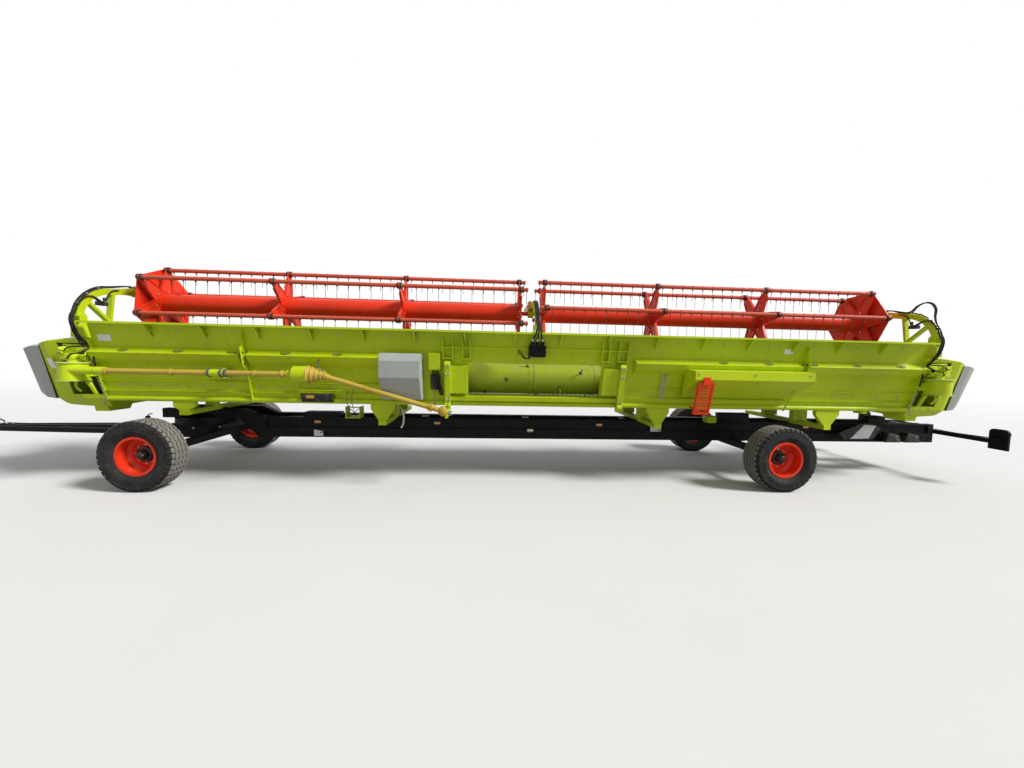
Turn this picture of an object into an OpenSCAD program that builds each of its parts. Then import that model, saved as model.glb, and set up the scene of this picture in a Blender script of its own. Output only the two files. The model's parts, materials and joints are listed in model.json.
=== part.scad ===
// Grain header of a combine harvester, carried on its four-wheel trailer.
// Millimetres, +Z up. X runs along the header, +X to the trailer's rear.
// The cutting side faces +Y and the rear wall faces -Y.
// The origin is on the ground under the middle of the whole.

/* [Trailer] */
// Distance between the axles
wheelbase = 7940; // [7000:10:8600]
// Width over the tyres
over_tyres = 2500; // [2300:10:2550]
// Outer diameter of a tyre
tyre_d = 846; // [800:2:880]
// Width of a tyre
tyre_w = 290; // [270:5:330]
// Diameter of the rim's flange
rim_d = 470; // [440:2:500]
// Height of the rails' underside
rail_z = 470; // [468:1:490]
// Height of the rails
rail_h = 290; // [260:5:330]
// Width of one rail
rail_w = 90; // [60:5:110]
// Outer width of the pair of rails
rails_w = 500; // [400:10:520]
// Half length of the whole, from the middle to the drawbar's tip or the lamps
half_length = 7360; // [7300:10:7600]
// Side of the square axle beams
axle_side = 90; // [70:2:92]
// Outer radius of the slewing ring
ring_r = 400; // [300:10:420]
// Hole of the drawbar's eye
eye_hole_d = 40; // [30:1:50]

/* [Header] */
// Middle of the header along the trailer
header_x = 720; // [600:10:800]
// Width between the header's end plates
cut_w = 10640; // [10500:10:10700]
// Rear edge of the wall's top
wall_y = -1050; // [-1060:5:-1030]
// Height of the wall's top
wall_top = 1985; // [1950:5:2010]
// Height of the wall's foot
wall_foot = 1030; // [1020:2:1040]
// Steps forward that the wall takes for each step down
wall_lean = 0.25; // [0.2:0.01:0.28]
// Thickness of the header's sheets
sheet_t = 6; // [4:0.5:8]
// Depth of the top flange
flange_d = 110; // [80:5:120]
// Width of the feeder opening
feeder_w = 1730; // [1500:10:1780]
// Lower edge of the feeder opening
feeder_low = 1170; // [1150:5:1190]
// Upper edge of the feeder opening
feeder_top = 1590; // [1560:5:1600]
// Width of an end box outside its end plate
end_box_w = 480; // [440:5:500]
// Depth of the bevelled rim of an end box
end_rim_w = 100; // [90:5:140]
// Depth of a side cover
cover_w = 250; // [150:5:260]

/* [Auger] */
// Auger axis, forward position
auger_y = -535; // [-545:1:-530]
// Auger axis, height
auger_z = 1380; // [1376:1:1390]
// Radius of the flights
flight_r = 315; // [300:1:316]
// Radius of the auger tube
auger_tube_r = 205; // [180:5:215]
// Lead of one turn
flight_lead = 600; // [500:10:700]

/* [Cutterbar] */
// Distance from guard to guard
guard_pitch = 76.2; // [70:0.1:80]
// Forward position of the guards' back edge
guard_y = 420; // [400:5:430]
// Height of the knife
knife_z = 1070; // [1066:1:1074]

/* [Reel] */
// Reel axis, forward position
reel_y = -170; // [-175:1:-160]
// Reel axis, height
reel_z = 2325; // [2320:1:2335]
// Radius of the circle of tine bars
reel_r = 470; // [440:1:472]
// Radius of the reel tube
reel_tube_r = 125; // [100:1:130]
// Radius of a tine bar
bar_r = 27; // [20:1:28]
// Length of a tine below its bar
tine_len = 170; // [120:5:175]
// Distance from tine to tine
tine_pitch = 150; // [120:1:180]
// Depth of a star's pressed rim along the reel
star_w = 34; // [24:1:36]
// Offset of the control ring from the reel axis
ring_offset = 60; // [40:1:70]

/* [Hidden] */
$fn = 48;

// Running gap of a round seat
seat_gap = 0.3;
lime = "#a5c400";
dark_lime = "#7d9900";
reel_red = "#e8321a";
black_paint = "#1c1d1f";
guard_yellow = "#d9a520";

tyre_r = tyre_d / 2;
axle_x = wheelbase / 2;
wheel_y = over_tyres / 2 - tyre_w / 2;
rail_top = rail_z + rail_h;
half_cut = cut_w / 2;
box_out = half_cut + end_box_w;
rim_out = box_out + end_rim_w;
cover_out = rim_out + cover_w;

// How far the leaning wall stands forward at a height
function lean_y(z) = wall_y + (wall_top - z) * wall_lean;

function unit(v) = v / norm(v);
function left_of(a, b) = let (d = unit(b - a)) [-d[1], d[0]];
function mitre(p, i, t) =
    let (a = max(i - 1, 0), b = min(i, len(p) - 2),
        m = left_of(p[a], p[a + 1]) + left_of(p[b], p[b + 1]))
    p[i] + m * 2 * t / (m * m);
// Outline of a sheet of thickness t, bent along the points p
function bent(p, t) = concat(p, [for (i = [len(p) - 1:-1:0]) mitre(p, i, t)]);
// Points of an arc in a plane
function arc(c, r, from, to, steps) =
    [for (i = [0:steps]) let (a = from + (to - from) * i / steps) c + r * [cos(a), sin(a)]];

// A (y, z) outline swept from x0 to x1
module along_x(x0, x1)
    translate([x0, 0, 0]) rotate([90, 0, 90]) linear_extrude(x1 - x0) children();
// An (x, z) outline swept from y0 to y1
module along_y(y0, y1)
    translate([0, y1, 0]) rotate([90, 0, 0]) linear_extrude(y1 - y0) children();
module box(low, high) translate(low) cube(high - low);
module rod_x(r, x0, x1, y, z) translate([x0, y, z]) rotate([0, 90, 0]) cylinder(r = r, h = x1 - x0);
module rod_y(r, x, y0, y1, z) translate([x, y0, z]) rotate([-90, 0, 0]) cylinder(r = r, h = y1 - y0);
module rod_z(r, x, y, z0, z1) translate([x, y, z0]) cylinder(r = r, h = z1 - z0);
// A round rod between two points
module rod(a, b, r) {
    d = b - a;
    translate(a) rotate([0, acos(d[2] / norm(d)), atan2(d[1], d[0])]) cylinder(r = r, h = norm(d));
}
module both_sides() {
    children();
    mirror([0, 1, 0]) children();
}
module both_ends() {
    children();
    mirror([1, 0, 0]) children();
}
module at_header() translate([header_x, 0, 0]) children();

// Wheels
rim_bead_r = 216;
rim_half = 118;
rim_flange = 9;
bead_half = rim_half - rim_flange - seat_gap;
spindle_r = 30;
hub_r = 95;

// Outline of a tyre's side from the bead to the crown: radius and distance from the tyre's middle
crown_half = tyre_w / 2 - 32;
tyre_side = [[rim_bead_r + seat_gap, bead_half], [rim_d / 2 + 4, bead_half], [rim_d / 2 + 16, bead_half + 10],
    [rim_d / 2 + 50, tyre_w / 2 - 4], [tyre_r - 92, tyre_w / 2], [tyre_r - 48, tyre_w / 2 - 4],
    [tyre_r - 15, tyre_w / 2 - 16], [tyre_r, crown_half]];

module tyre(x, side) color(black_paint) translate([x, side * wheel_y, tyre_r]) rotate([-90, 0, 0])
    rotate_extrude($fn = 96) difference() {
        polygon(concat([for (p = tyre_side) [p[0], -p[1]]],
            [for (i = [len(tyre_side) - 1:-1:0]) tyre_side[i]]));
        for (y = [-0.72, -0.24, 0.24, 0.72]) translate([tyre_r - 12, y * crown_half - 6]) square([20, 12]);
    }

module rim(x, side) color(reel_red) translate([x, side * wheel_y, tyre_r]) rotate([-90 * side, 0, 0])
    rotate_extrude($fn = 96) {
        translate([rim_bead_r - 10, -rim_half]) square([10, 2 * rim_half]);
        for (v = [-rim_half, rim_half - rim_flange])
            translate([rim_bead_r - 1, v]) square([rim_d / 2 - rim_bead_r + 1, rim_flange]);
        polygon([[hub_r - 1, -52], [rim_bead_r - 40, -62], [rim_bead_r - 9, -30], [rim_bead_r - 9, -16],
            [rim_bead_r - 44, -48], [hub_r - 1, -38]]);
        polygon([[spindle_r + seat_gap, -90], [hub_r, -90], [hub_r, -20], [76, -2], [60, 2], [56, 30],
            [46, 42], [0, 42], [0, 30], [spindle_r + seat_gap, 30]]);
    }

module tyre_front_near() tyre(-axle_x, -1);
module tyre_front_far() tyre(-axle_x, 1);
module tyre_rear_near() tyre(axle_x, -1);
module tyre_rear_far() tyre(axle_x, 1);
module rim_front_near() rim(-axle_x, -1);
module rim_front_far() rim(-axle_x, 1);
module rim_rear_near() rim(axle_x, -1);
module rim_rear_far() rim(axle_x, 1);

// Axle beam with its two spindles, at an axle's place
module axle(x) translate([x, 0, 0]) {
    top = tyre_r + axle_side / 2;
    box([-axle_side / 2, -wheel_y + 130, top - axle_side], [axle_side / 2, wheel_y - 130, top]);
    both_sides() {
        rod_y(spindle_r, 0, wheel_y - 131, wheel_y + 25, tyre_r);
        rod_y(78, 0, wheel_y - 131, wheel_y - 96, tyre_r);
    }
}
axle_top = tyre_r + axle_side / 2;

// Trailer
rail_x0 = -axle_x + 820;
rail_x1 = half_length - 150;
deck_z = 730;
deck_top = 860;
deck_x0 = -axle_x - 470;
cross_n = 7;
cross_w = 100;
cross_x0 = rail_x0 + 750;
cross_x1 = rail_x1 - 310;
slew_h = 44;
// Height of a rail's lower tube, depth of the channels over it and thickness of the top flange
rail_tube = 140;
web_in = 28;
rail_lip = 22;

module rail_side() polygon([[rail_x0 - 260, deck_z], [rail_x0, rail_z], [rail_x1, rail_z],
    [rail_x1, rail_top], [rail_x0 + 60, rail_top], [rail_x0 - 180, deck_top], [deck_x0, deck_top],
    [deck_x0, deck_z]]);

module trailer_frame() color(black_paint) difference() {
    union() {
        both_sides() difference() {
            along_y(rails_w / 2 - rail_w, rails_w / 2) rail_side();
            // Hollow rails
            box([rail_x0 + 100, rails_w / 2 - rail_w + 8, rail_z + 8],
                [rail_x1 - 8, rails_w / 2 - 8, rail_z + rail_tube - 8]);
            box([deck_x0 + 8, rails_w / 2 - rail_w + 8, deck_z + 8],
                [rail_x0 - 270, rails_w / 2 - 8, deck_top - 8]);
            // Channels on both sides of the web, between the tube and the top flange
            for (y = [rails_w / 2 - web_in, rails_w / 2 - rail_w - 1])
                box([rail_x0 + 120, y, rail_z + rail_tube],
                    [rail_x1 - 90, y + web_in + 1, rail_top - rail_lip]);
        }
        for (i = [0:cross_n - 1]) let (x = cross_x0 + (cross_x1 - cross_x0) * i / (cross_n - 1))
            box([x - cross_w / 2, -rails_w / 2 + rail_w - web_in - 2, rail_top - 110],
                [x + cross_w / 2, rails_w / 2 - rail_w + web_in + 2, rail_top - 10]);
        box([rail_x1 - 80, -rails_w / 2 + rail_w - 1, rail_z + 20],
            [rail_x1, rails_w / 2 - rail_w + 1, rail_top - 20]);
        box([deck_x0, -rails_w / 2 + rail_w - 1, deck_z],
            [-axle_x + 470, rails_w / 2 - rail_w + 1, deck_z + 40]);
        translate([-axle_x, 0, deck_z - slew_h]) cylinder(r = ring_r, h = slew_h + 1, $fn = 96);
        // Saddles on the rear axle
        for (s = [-1, 1]) box([axle_x - 110, s * (rails_w / 2 - rail_w / 2) - 60, axle_top],
            [axle_x + 110, s * (rails_w / 2 - rail_w / 2) + 60, rail_z + 60]);
    }
    translate([-axle_x, 0, deck_z - slew_h - 1]) cylinder(r = ring_r - 70, h = slew_h + 60, $fn = 96);
}

module rear_axle() color(black_paint) axle(axle_x);

ring_gap = 0.3;
bogie_top = deck_z - slew_h - ring_gap;
bogie_half = 290;
hinge_x = -axle_x - 620;
hinge_z = 520;
hinge_r = 22;
module front_bogie() color(black_paint) {
    axle(-axle_x);
    translate([-axle_x, 0, 0]) {
        difference() {
            translate([0, 0, bogie_top - 40]) cylinder(r = ring_r, h = 40, $fn = 96);
            translate([0, 0, bogie_top - 41]) cylinder(r = ring_r - 60, h = 42, $fn = 96);
        }
        for (s = [-1, 1]) {
            along_y(s * bogie_half - 40, s * bogie_half + 40)
                polygon([[-500, hinge_z - 40], [-60, axle_top - 1], [60, axle_top - 1],
                    [380, bogie_top - 110],
                    [380, bogie_top - 39], [-400, bogie_top - 39], [-500, hinge_z + 50]]);
            box([s * 330 - 40, -bogie_half, bogie_top - 110], [s * 330 + 40, bogie_half, bogie_top - 39]);
        }
    }
    // Lugs that carry the drawbar's hinge pin
    for (s = [-1, 1]) difference() {
        along_y(s * bogie_half - 40, s * bogie_half + 40) hull() {
            translate([hinge_x, hinge_z]) circle(r = 52);
            translate([-axle_x - 480, hinge_z]) square([20, 88], center = true);
        }
        rod_y(hinge_r + seat_gap, hinge_x, -bogie_half - 60, bogie_half + 60, hinge_z);
    }
}

bar_h = 90;
tip_x = -half_length;
eye_r = 55;
eye_t = 30;
fork_x = tip_x + 520;
strand_y = [205, 62];
module drawbar() color(black_paint) {
    rod_y(hinge_r, hinge_x, -bogie_half - 70, bogie_half + 70, hinge_z);
    rod_y(40, hinge_x, -bogie_half + 50, bogie_half - 50, hinge_z);
    // Two long strands that close towards the eye, with ties between them
    for (s = [-1, 1]) hull() {
        box([hinge_x - 45, s * strand_y[0] - 30, hinge_z - 35],
            [hinge_x, s * strand_y[0] + 30, hinge_z + 35]);
        box([fork_x, s * strand_y[1] - 25, hinge_z - 35], [fork_x + 20, s * strand_y[1] + 25, hinge_z + 35]);
    }
    for (t = [0.25, 0.6]) let (x = hinge_x + (fork_x - hinge_x) * t,
        y = strand_y[0] + (strand_y[1] - strand_y[0]) * t)
        box([x - 30, -y, hinge_z - 25], [x + 30, y, hinge_z + 25]);
    difference() {
        box([tip_x + 160, -90, hinge_z - 40], [fork_x + 30, 90, hinge_z + 40]);
        box([tip_x + 230, -40, hinge_z - 50], [fork_x - 30, 40, hinge_z + 50]);
    }
    // Towing eye
    difference() {
        union() {
            translate([tip_x + eye_r, 0, hinge_z - eye_t / 2]) cylinder(r = eye_r, h = eye_t);
            box([tip_x + eye_r, -40, hinge_z - eye_t / 2], [tip_x + 170, 40, hinge_z + eye_t / 2]);
            box([tip_x + 140, -58, hinge_z - 58], [tip_x + 162, 58, hinge_z + 58]);
        }
        translate([tip_x + eye_r, 0, hinge_z - eye_t]) cylinder(d = eye_hole_d, h = 2 * eye_t);
    }
}

light_x = half_length - 60;
light_z = 640;
module light_bar() color(black_paint) {
    box([light_x - 60, -1020, light_z - 30], [light_x, 1020, light_z + 30]);
    box([rail_x1, -60, light_z - 30], [light_x - 59, 60, light_z + 30]);
    both_sides() {
        along_x(light_x, light_x + 30) hull() {
            translate([860, light_z - 115]) square([210, 10]);
            for (y = [910, 1020]) translate([y, light_z + 125]) circle(r = 50);
        }
        rod_x(42, light_x + 29, half_length, 1010, light_z + 110);
        rod_x(34, light_x + 29, half_length, 965, light_z);
    }
}

// Header supports on the rails: middle, half width of the saddle
pads = [[-axle_x + 270, 70], [header_x - 1970, 90], [header_x + 1700, 90], [header_x + 4130, 110]];
floor_z = 1055;
floor_low = floor_z - sheet_t;
beam_half = 780;
module header_supports() color(lime) for (p = pads) translate([p[0], 0, 0]) {
    low = p[0] < rail_x0 ? deck_top : rail_top;
    box([-50, -beam_half - 70, low], [50, beam_half, low + 60]);
    for (y = [-340, 260]) difference() {
        box([-p[1], y - 40, low + 59], [p[1], y + 40, floor_low]);
        box([-p[1] + 8, y - 32, low + 67], [p[1] - 8, y + 32, floor_low - 8]);
    }
    // Bracket under the foot of the rear wall
    along_y(foot_y - 30, foot_y + 30) polygon([[-50, low + 59], [50, low + 59], [p[1] + 60, wall_foot - 60],
        [p[1] + 60, wall_foot], [-p[1] - 60, wall_foot], [-p[1] - 60, wall_foot - 60]]);
}

// Rear wall of the header
foot_y = lean_y(wall_foot);
opening_x = feeder_w / 2;
// Middle of a post beside the opening
post_x = opening_x + 255;
wall_half = half_cut - sheet_t;
// Ends of the wall's pressed ribs beside the feeder frame
rib_spans = [[-wall_half, -post_x - 795], [post_x + 125, wall_half]];
gusset_first = 290;
gusset_pitch = 620;
gusset_n = 8;
pivot_y = -1000;
pivot_z = 2045;
pivot_r = 20;
arm_t = 60;
ear_t = 12;

module feeder_cut() box([-opening_x, wall_y - 200, feeder_low], [opening_x, auger_y, feeder_top]);
// Pair of ears that carry a reel arm, standing on a seat from y0 to y1 at height z
module ears(x, y0, y1, z) for (s = [-1, 1]) difference() {
    along_x(x + s * (arm_t / 2 + 1 + ear_t / 2) - ear_t / 2, x + s * (arm_t / 2 + 1 + ear_t / 2) + ear_t / 2)
        union() {
            translate([pivot_y, pivot_z]) circle(r = 42);
            polygon([[pivot_y - 42, pivot_z], [y0, z], [y1, z], [pivot_y + 42, pivot_z]]);
        }
    rod_x(pivot_r + seat_gap, x - 100, x + 100, pivot_y, pivot_z);
}

// Braces that stand on the wall: place along the header, top and foot
braces = [[-3570, 1920, wall_foot + 20], [3600, 1900, 1450]];
brace_t = 8;
// Outer edge of a brace at a height: deep behind the beam and shallow elsewhere
function brace_y(z) = lean_y(z) - 55 - (z > oct_low - 60 && z < oct_top + 60 ? 65 : 0);
module brace(x, top, foot) along_x(x - brace_t / 2, x + brace_t / 2) polygon(concat(
    [[lean_y(top) + 3, top]],
    [for (z = [top, oct_top + 60, oct_top + 20, oct_low + 20, oct_low - 60, foot])
        if (z >= foot) [brace_y(z), z]],
    [[lean_y(foot) + 3, foot]]));

module rear_wall() color(lime) at_header() {
    difference() {
        union() {
            along_x(-wall_half, wall_half) polygon(bent([[wall_y - flange_d, wall_top - 22],
                [wall_y - flange_d, wall_top - 4], [wall_y, wall_top], [lean_y(1740), 1740],
                [foot_y, wall_foot], [foot_y + 60, wall_foot]], sheet_t));
            // Two pressed ribs and the tube at the foot
            for (span = rib_spans, z = [1300, 1170])
                along_x(span[0], span[1]) polygon([[lean_y(z) + 2, z], [lean_y(z) - 26, z - 2],
                    [lean_y(z) - 26, z - 8], [lean_y(z - 22) + 2, z - 22]]);
            rod_x(32, -wall_half, wall_half, foot_y - 22, wall_foot + 32);
        }
        feeder_cut();
    }
    // Gussets under the top flange
    for (s = [-1, 1], i = [0:gusset_n - 1]) let (x = s * (gusset_first + gusset_pitch * i))
        along_x(x - 3, x + 3)
        polygon([[wall_y - flange_d + 10, wall_top - 2], [wall_y + 1, wall_top + 1],
            [lean_y(1800) + 2, 1800], [lean_y(1830) - 8, 1830]]);
    for (b = braces) brace(b[0], b[1], b[2]);
    ears(0, wall_y - 90, wall_y + 5, wall_top - 8);
}

oct_low = 1490;
oct_top = 1700;
oct_d = 90;
// From and to along the header, left and right of the middle
brace_gap = 45;
oct_spans = [[-wall_half, braces[0][0] - brace_gap], [braces[0][0] + brace_gap, -post_x - 830],
    [post_x + 170, braces[1][0] - brace_gap], [braces[1][0] + brace_gap, wall_half]];
module oct_outline(t) polygon([[lean_y(oct_low) - t / 4, oct_low + t],
    [lean_y(oct_low) - oct_d + t, oct_low + 60 + t / 2],
    [lean_y(oct_top) - oct_d + t, oct_top - 70 - t / 2], [lean_y(oct_top) - t / 4, oct_top - t]]);
module octagon_beams() color(lime) at_header() for (span = oct_spans) difference() {
    along_x(span[0], span[1]) oct_outline(0);
    along_x(span[0] + 8, span[1] - 8) oct_outline(8);
}

// Frame round the feeder opening
post_w = 70;
post_d = 130;
post_top = 1610;
post_low = 985;
post_seat = 1097;
pin_eye_r = 21;
pin_eye_y = foot_y - 115;
pin_eye_z = 1040;
lug_r = 44;
// Yokes over the opening: distance of their middle from the header's, and half their width
yokes = [[post_x - 5, 60], [post_x - 235, 45]];
yoke_top = 1900;
yoke_low = 1620;
side_box_x = [post_x + 90, post_x + 230];
module feeder_frame() color(lime) at_header() {
    both_ends() {
        difference() {
            union() {
                along_x(post_x - post_w / 2, post_x + post_w / 2) polygon([[lean_y(post_top), post_top],
                    [lean_y(post_top) - post_d + 30, post_top],
                        [lean_y(post_top - 40) - post_d, post_top - 40],
                    [lean_y(post_low) - post_d, post_low], [foot_y - 70, post_low], [foot_y - 70, post_seat],
                    [lean_y(post_seat), post_seat]]);
                rod_x(lug_r, post_x - post_w / 2, post_x + post_w / 2, pin_eye_y, pin_eye_z);
                // Side plate between the post and the opening
                along_x(opening_x + 10, post_x - post_w / 2 + 1) polygon([[lean_y(1560), 1560],
                    [lean_y(1560) - 90, 1550], [lean_y(1200) - 90, 1200], [lean_y(1180), 1180]]);
            }
            // Hollow back of the post
            along_x(post_x - post_w / 2 + 8, post_x + post_w / 2 - 8)
                polygon([[lean_y(post_top - 40) + 20, post_top - 40],
                [lean_y(post_top - 50) - post_d + 10, post_top - 50], [lean_y(1160) - post_d + 10, 1160],
                    [lean_y(1160) + 20, 1160]]);
            rod_x(pin_eye_r, post_x - 100, post_x + 100, pin_eye_y, pin_eye_z);
        }
        for (yoke = yokes, s = [-1, 1]) along_x(yoke[0] + s * yoke[1] - 5, yoke[0] + s * yoke[1] + 5)
            polygon([[lean_y(yoke_top), yoke_top], [lean_y(yoke_top) - 80, yoke_top - 12],
                [lean_y(yoke_low) - 80, yoke_low + 20], [lean_y(yoke_low - 20), yoke_low - 20]]);
        for (yoke = yokes) along_x(yoke[0] - yoke[1], yoke[0] + yoke[1]) polygon([[lean_y(1656), 1656],
            [lean_y(1650) - 84, 1650], [lean_y(1640) - 84, 1640], [lean_y(1640), 1640]]);
    }
    // Shaft between the two sides, which opens the latches
    rod_x(11, -post_x - 90, post_x + 90, lean_y(1780) - 48, 1780);
    // Box beside the left post
    difference() {
        along_x(-side_box_x[1], -side_box_x[0]) polygon([[lean_y(1720), 1720], [lean_y(1720) - 100, 1700],
            [lean_y(1500) - 110, 1500], [lean_y(1480), 1480]]);
        along_x(-side_box_x[1] + 5, -side_box_x[0] - 5)
            polygon([[lean_y(1712) + 9, 1712], [lean_y(1712) - 94, 1694],
            [lean_y(1508) - 103, 1508], [lean_y(1488) + 9, 1488]]);
    }
    // Lower bar
    along_x(-post_x + post_w / 2 - 1, post_x - post_w / 2 + 1) polygon([[lean_y(1160), 1160],
        [lean_y(1160) - 70, 1155], [lean_y(1100) - 70, 1100], [lean_y(1100), 1100]]);
    // Cradle under the stowed drive shaft
    along_x(-post_x, -post_x + 30) polygon([[-930, 1010], [-1130, rest_end[2] - rest_r],
        [-1245, rest_end[2] - rest_r], [-1245, rest_end[2] - rest_r - 14], [-1120, rest_end[2] - rest_r - 14],
        [-890, post_low + 2]]);
}

// Coupler that joins the hydraulic and electric lines, on the centre of the wall
coupler_half = 105;
coupler_z = [1680, 1830];
module coupler_block() color(black_paint) at_header() difference() {
    union() {
        along_x(-coupler_half, coupler_half) polygon([[lean_y(coupler_z[1]) - 0.2, coupler_z[1]],
            [lean_y(coupler_z[1]) - 130, coupler_z[1] - 6], [lean_y(coupler_z[0]) - 120, coupler_z[0] + 10],
            [lean_y(coupler_z[0]) - 0.2, coupler_z[0]]]);
        for (x = [-64, 0, 64]) rod_z(24, x, lean_y(coupler_z[1]) - 70, coupler_z[1] - 8, coupler_z[1] + 46);
    }
    for (x = [-64, 0, 64]) rod_z(15, x, lean_y(coupler_z[1]) - 70, coupler_z[1] - 30, coupler_z[1] + 60);
    // Notch that lets the latch shaft pass
    rod_x(16, -coupler_half - 10, coupler_half + 10, lean_y(1780) - 48, 1780);
}

// Trough and floor
trough_r = flight_r + 18;
module header_floor() color(dark_lime) at_header() difference() {
    along_x(-wall_half, wall_half) polygon(bent(concat(
        [[auger_y - trough_r - 22, auger_z + 40]], arc([auger_y, auger_z], trough_r, 180, 270, 10),
        [[auger_y + 100, floor_z], [guard_y - 60, floor_z], [guard_y, knife_z - guard_t / 2],
        [guard_y + 10, knife_z - guard_t / 2]]), -sheet_t));
    feeder_cut();
}

// End boxes: side outline of the header, seen along X
side_outline = [[-1050, 1780], [-870, 1060], [-780, 950], [430, 985], [520, 1050], [430, 1330],
    [-560, 1800], [-1000, 1800]];
side_inner = [[-1038, 1776], [-860, 1064], [-774, 962], [426, 997], [508, 1052], [421, 1322],
    [-563, 1788], [-1000, 1788]];
recess_w = 350;
// Where the box starts to narrow outwards
taper_x = half_cut + 180;
// A point of the outline that the taper moves forward by a, and inwards at its top and bottom by b
function taper(p, a, b) = [p[0] + (p[0] < -700 ? a : 0), p[1] + (p[1] > 1700 ? -b : p[1] < 1000 ? b / 2 : 0)];
module tapered(outline, x0, from, x1, to) hull() {
    along_x(x0, x0 + 1) polygon([for (p = outline) taper(p, from[0], from[1])]);
    along_x(x1 - 1, x1) polygon([for (p = outline) taper(p, to[0], to[1])]);
}
taper_mid = [4, 40];
taper_end = [45, 65];
// Seat on the pedestal of an outer arm: half width and height
seat_half = 43;
seat_top = 1950;
shaft_r = 30;
module end_box(s) color(lime) at_header() mirror([s > 0 ? 0 : 1, 0, 0]) {
    difference() {
        union() {
            along_x(half_cut - sheet_t, taper_x + 1) polygon(side_outline);
            tapered(side_outline, taper_x, [0, 0], box_out, taper_mid);
            tapered(side_outline, box_out - 1, taper_mid, rim_out, taper_end);
        }
        along_x(half_cut, taper_x + 1) polygon(side_inner);
        tapered(side_inner, taper_x, [0, 0], box_out - 8, taper_mid);
        tapered(side_inner, box_out, taper_mid, rim_out + 1, taper_end);
        // Open recess at the back, where the drive comes in
        along_x(half_cut, half_cut + recess_w)
            polygon([[wall_y - 100, 1730], [-700, 1730], [-700, 1110], [wall_y - 100, 1110]]);
        rod_x(shaft_r + seat_gap, half_cut - 20, half_cut + 1, auger_y, auger_z);
        // Slot that the lift cylinder stands through
        box([arm_x - 40, -765, 1770], [arm_x + 40, -585, 1810]);
    }
    // Pedestal of the arm
    difference() {
        along_x(arm_x - seat_half, arm_x + seat_half)
            polygon([[-1070, 1799], [-1066, seat_top], [-950, seat_top],
            [-930, 1799]]);
        along_x(arm_x - seat_half + 6, arm_x + seat_half - 6) polygon([[-1063, 1790], [-1059, seat_top - 6],
            [-955, seat_top - 6], [-937, 1790]]);
    }
    ears(arm_x, pivot_y - 50, pivot_y + 40, seat_top - 1);
    // Boss, pin and collar under the lift cylinder
    rod_x(30, half_cut - 1, arm_x - 32, lift_low[0], lift_low[1]);
    rod_x(lift_pin_r, arm_x - 33, arm_x + 33, lift_low[0], lift_low[1]);
    rod_x(20, arm_x + 32, arm_x + 38, lift_low[0], lift_low[1]);
    // Hinge of the side cover
    for (z = cover_leaf_z) {
        intersection() {
            along_x(rim_out - 12, rim_out + 4)
                polygon([for (p = side_outline) taper(p, taper_end[0], taper_end[1])]);
            box([rim_out - 12, cover_hinge_y - 7, z], [rim_out + 4, 600, z + leaf_h]);
        }
        box([rim_out, cover_hinge_y - 7, z], [cover_hinge_x, cover_hinge_y + 7, z + leaf_h]);
        rod_z(12, cover_hinge_x, cover_hinge_y, z, z + leaf_h);
    }
    rod_z(cover_pin_r, cover_hinge_x, cover_hinge_y, cover_leaf_z[0], cover_leaf_z[1] + leaf_h);
    // Skid under the corner
    difference() {
        along_x(half_cut + 40, half_cut + 200) polygon([[-800, 975], [-780, 890], [-500, 890], [-460, 960]]);
        along_x(half_cut + 48, half_cut + 192) polygon([[-790, 980], [-773, 898], [-506, 898], [-468, 965]]);
    }
}
module end_box_left() end_box(-1);
module end_box_right() end_box(1);

divider_y = 1200;
module dividers() color(lime) at_header() both_ends() difference() {
    hull() {
        box([half_cut - 60, 430, 1000], [half_cut + 100, 440, 1240]);
        box([half_cut - 10, divider_y - 10, 1000], [half_cut + 20, divider_y, 1030]);
    }
    along_x(half_cut - 70, half_cut + 110) polygon(side_outline);
}

// Cutterbar
guard_n = floor((2 * wall_half - 40) / guard_pitch);
guard_len = 120;
guard_t = 26;
knife_t = 3;
// Play under and over the knife
knife_gap = [0.3, 4];
guard_x0 = -guard_pitch * (guard_n - 1) / 2;
knife_y = guard_y + 12;
module guard_outline() {
    translate([-wall_half, guard_y]) square([2 * wall_half, 22]);
    for (i = [0:guard_n - 1]) translate([guard_x0 + guard_pitch * i, guard_y + 20])
        polygon([[-14, 0], [14, 0], [9, guard_len - 40], [2, guard_len], [-2, guard_len],
            [-9, guard_len - 40]]);
}
module cutterbar_guards() color(dark_lime) at_header() difference() {
    translate([0, 0, knife_z - guard_t / 2]) linear_extrude(guard_t) guard_outline();
    box([-half_cut, guard_y - 5, knife_z - knife_t / 2 - knife_gap[0]],
        [half_cut, guard_y + 20 + guard_len - 32, knife_z + knife_t / 2 + knife_gap[1]]);
}
section_len = 78;
knife_half = guard_pitch * (guard_n - 1) / 2;
module knife() color("silver") at_header() translate([0, 0, knife_z - knife_t / 2]) linear_extrude(knife_t) {
    translate([-knife_half - 20, knife_y]) square([2 * knife_half + 40, 24]);
    for (i = [0:guard_n - 2]) translate([guard_x0 + guard_pitch * (i + 0.5), knife_y + 22])
        polygon([[-guard_pitch / 2 + 2, 0], [guard_pitch / 2 - 2, 0], [8, section_len - 22],
            [-8, section_len - 22]]);
}

// Auger
tube_half = half_cut - 70;
flight_x0 = 880;
flight_x1 = tube_half - 30;
flight_steps = 16;
flight_w = 6;
finger_n = 12;
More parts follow.
